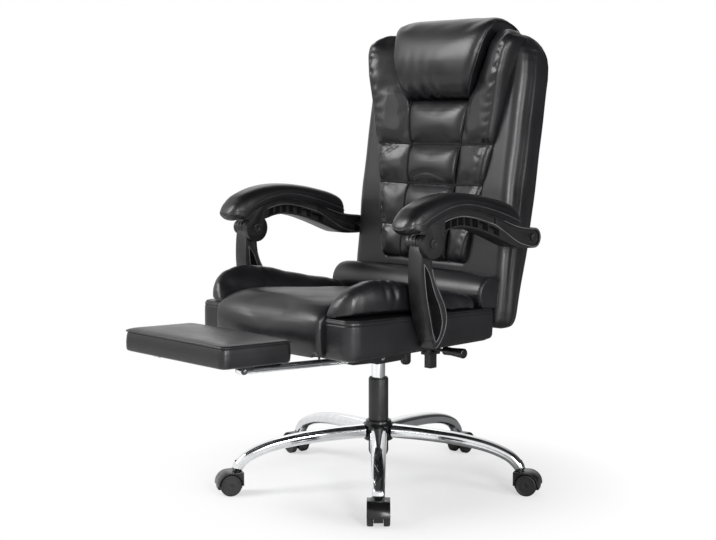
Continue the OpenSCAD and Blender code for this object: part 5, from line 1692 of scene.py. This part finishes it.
@dataclass
class Studio:
    """White floor, soft boxes and the camera of the photograph."""

    place: tuple[float, float, float] = (2.3335, -2.3335, 0.891)
    turn: float = 45.0
    dip: float = 6.42
    lens: float = 69.49
    shift: float = -0.0286
    unlit: tuple[float, float, float] = (0.707, 0.707, 0.0)

    def build_camera(self) -> None:
        """Makes the camera and gives it to the scene."""
        data = bpy.data.cameras.new("camera")
        data.lens, data.sensor_width, data.shift_x = self.lens, 36.0, self.shift
        camera = bpy.data.objects.new("camera", data)
        camera.location = self.place
        camera.rotation_euler = (math.radians(90.0 - self.dip), 0.0, math.radians(self.turn))
        bpy.context.scene.collection.objects.link(camera)
        bpy.context.scene.camera = camera

    def build_floor(self) -> None:
        """Makes the white floor, which keeps the shadow near the chair only."""
        mesh = bpy.data.meshes.new("studio_floor")
        e = 30.0
        mesh.from_pydata([(-e, -e, 0), (e, -e, 0), (e, e, 0), (-e, e, 0)], [], [(0, 1, 2, 3)])
        floor = show(mesh)
        material, tree = open_material("white_sweep")
        point = add_node(tree, "TexCoord").outputs["Object"]
        rays = add_node(tree, "LightPath").outputs
        seen, mirrored = rays["Is Camera Ray"], rays["Is Glossy Ray"]
        paper = add_node(tree, "BsdfDiffuse", {"Color": linear("#fafafa")})
        glow = add_node(tree, "Emission", {
            "Color": (1, 1, 1, 1), "Strength": add_node(tree, "MapRange", (seen, 0, 1, 0.05, 1.0))})
        far = add_node(tree, "VectorMath", (point,), operation="LENGTH").outputs["Value"]
        away = add_node(tree, "MapRange", (far, 0.3, 0.62, 0.45, 1.0))
        plain = add_node(tree, "Math", (seen, away), operation="MULTIPLY")
        # The side turned from the lamps is dark in gloss, as the backdrop is
        way = add_node(tree, "VectorMath", (point,), operation="NORMALIZE")
        aside = add_node(tree, "VectorMath", (way, self.unlit), operation="DOT_PRODUCT")
        dark = add_node(tree, "MapRange", (aside.outputs["Value"], 0.1, 0.6, 0.0, 0.75))
        dim = add_node(tree, "Math", (mirrored, dark), operation="MULTIPLY")
        share = add_node(tree, "Math", (plain, dim), operation="MAXIMUM")
        mix = add_node(tree, "MixShader", (share, paper, glow))
        add_node(tree, "OutputMaterial", {"Surface": mix})
        mesh.materials.append(material)

    def build_world(self) -> None:
        """Makes the backdrop white to the eye and in gloss, and softer as a light."""
        world = bpy.data.worlds.new("studio")
        bpy.context.scene.world = world
        world.use_nodes = True
        tree = world.node_tree
        tree.nodes.clear()
        rays = add_node(tree, "LightPath").outputs
        mirrored = add_node(tree, "Math", (rays["Is Glossy Ray"], rays["Is Transmission Ray"]),
                            operation="MAXIMUM")
        way = add_node(tree, "TexCoord").outputs["Generated"]
        aside = add_node(tree, "VectorMath", (way, self.unlit), operation="DOT_PRODUCT")
        overhead = add_node(tree, "SeparateXYZ", (way,)).outputs["Z"]
        falling = add_node(tree, "Math", (
            add_node(tree, "MapRange", (aside.outputs["Value"], 0.1, 0.6, 1.0, 0.06)),
            add_node(tree, "MapRange", (overhead, 0.6, 0.8, 1.0, 0.06))), operation="MULTIPLY")
        plain = add_node(tree, "Mix", {0: mirrored, 2: 0.4, 3: falling})
        strength = add_node(tree, "Mix", {0: rays["Is Camera Ray"], 2: plain, 3: 1.0})
        back = add_node(tree, "Background", {"Color": (1, 1, 1, 1), "Strength": strength})
        add_node(tree, "OutputWorld", {"Surface": back})

    def box_light(self, name: str, at: Sequence[float], aim: Sequence[float], size: Sequence[float],
                  watts: float) -> None:
        """Hangs one soft box.

        Args:
            name: Its name.
            at: Its place, in metres.
            aim: The point it faces.
            size: Its width and height.
            watts: Its power.
        """
        data = bpy.data.lights.new(name, "AREA")
        data.shape, data.size, data.size_y, data.energy = "RECTANGLE", size[0], size[1], watts
        lamp = bpy.data.objects.new(name, data)
        way = np.asarray(aim, float) - np.asarray(at, float)
        way /= np.linalg.norm(way)
        lamp.location = at
        lamp.rotation_euler = (math.acos(-way[2]), 0.0, math.atan2(way[1], way[0]) - math.pi / 2)
        bpy.context.scene.collection.objects.link(lamp)

    def build(self) -> None:
        """Builds the studio."""
        self.build_camera()
        self.build_floor()
        self.build_world()
        seat = (0, 0, 0.6)
        self.box_light("key_box", (-1.6, -2.4, 2.6), seat, (1.6, 1.6), 84.0)
        self.box_light("front_strip", (3.2, -1.5, 1.3), seat, (0.8, 1.4), 72.0)
        self.box_light("side_box", (3.4, 0.5, 1.2), (0.1, 0.1, 0.7), (1.2, 1.6), 42.0)
        self.box_light("rear_box", (-2.2, 1.8, 2.2), seat, (1.4, 1.6), 5.0)


def main() -> None:
    """Builds the chair in order, from the floor up."""
    logging.basicConfig(level=logging.INFO, format="%(name)s: %(message)s")
    bpy.context.scene.view_settings.view_transform = "Standard"
    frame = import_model()
    Studio().build()
    RigidParts(frame).build()
    StarBase().build()
    Seat().build()
    Back().build()
    ArmPads().build()
    Footrest().build()


if __name__ == "__main__":
    main()
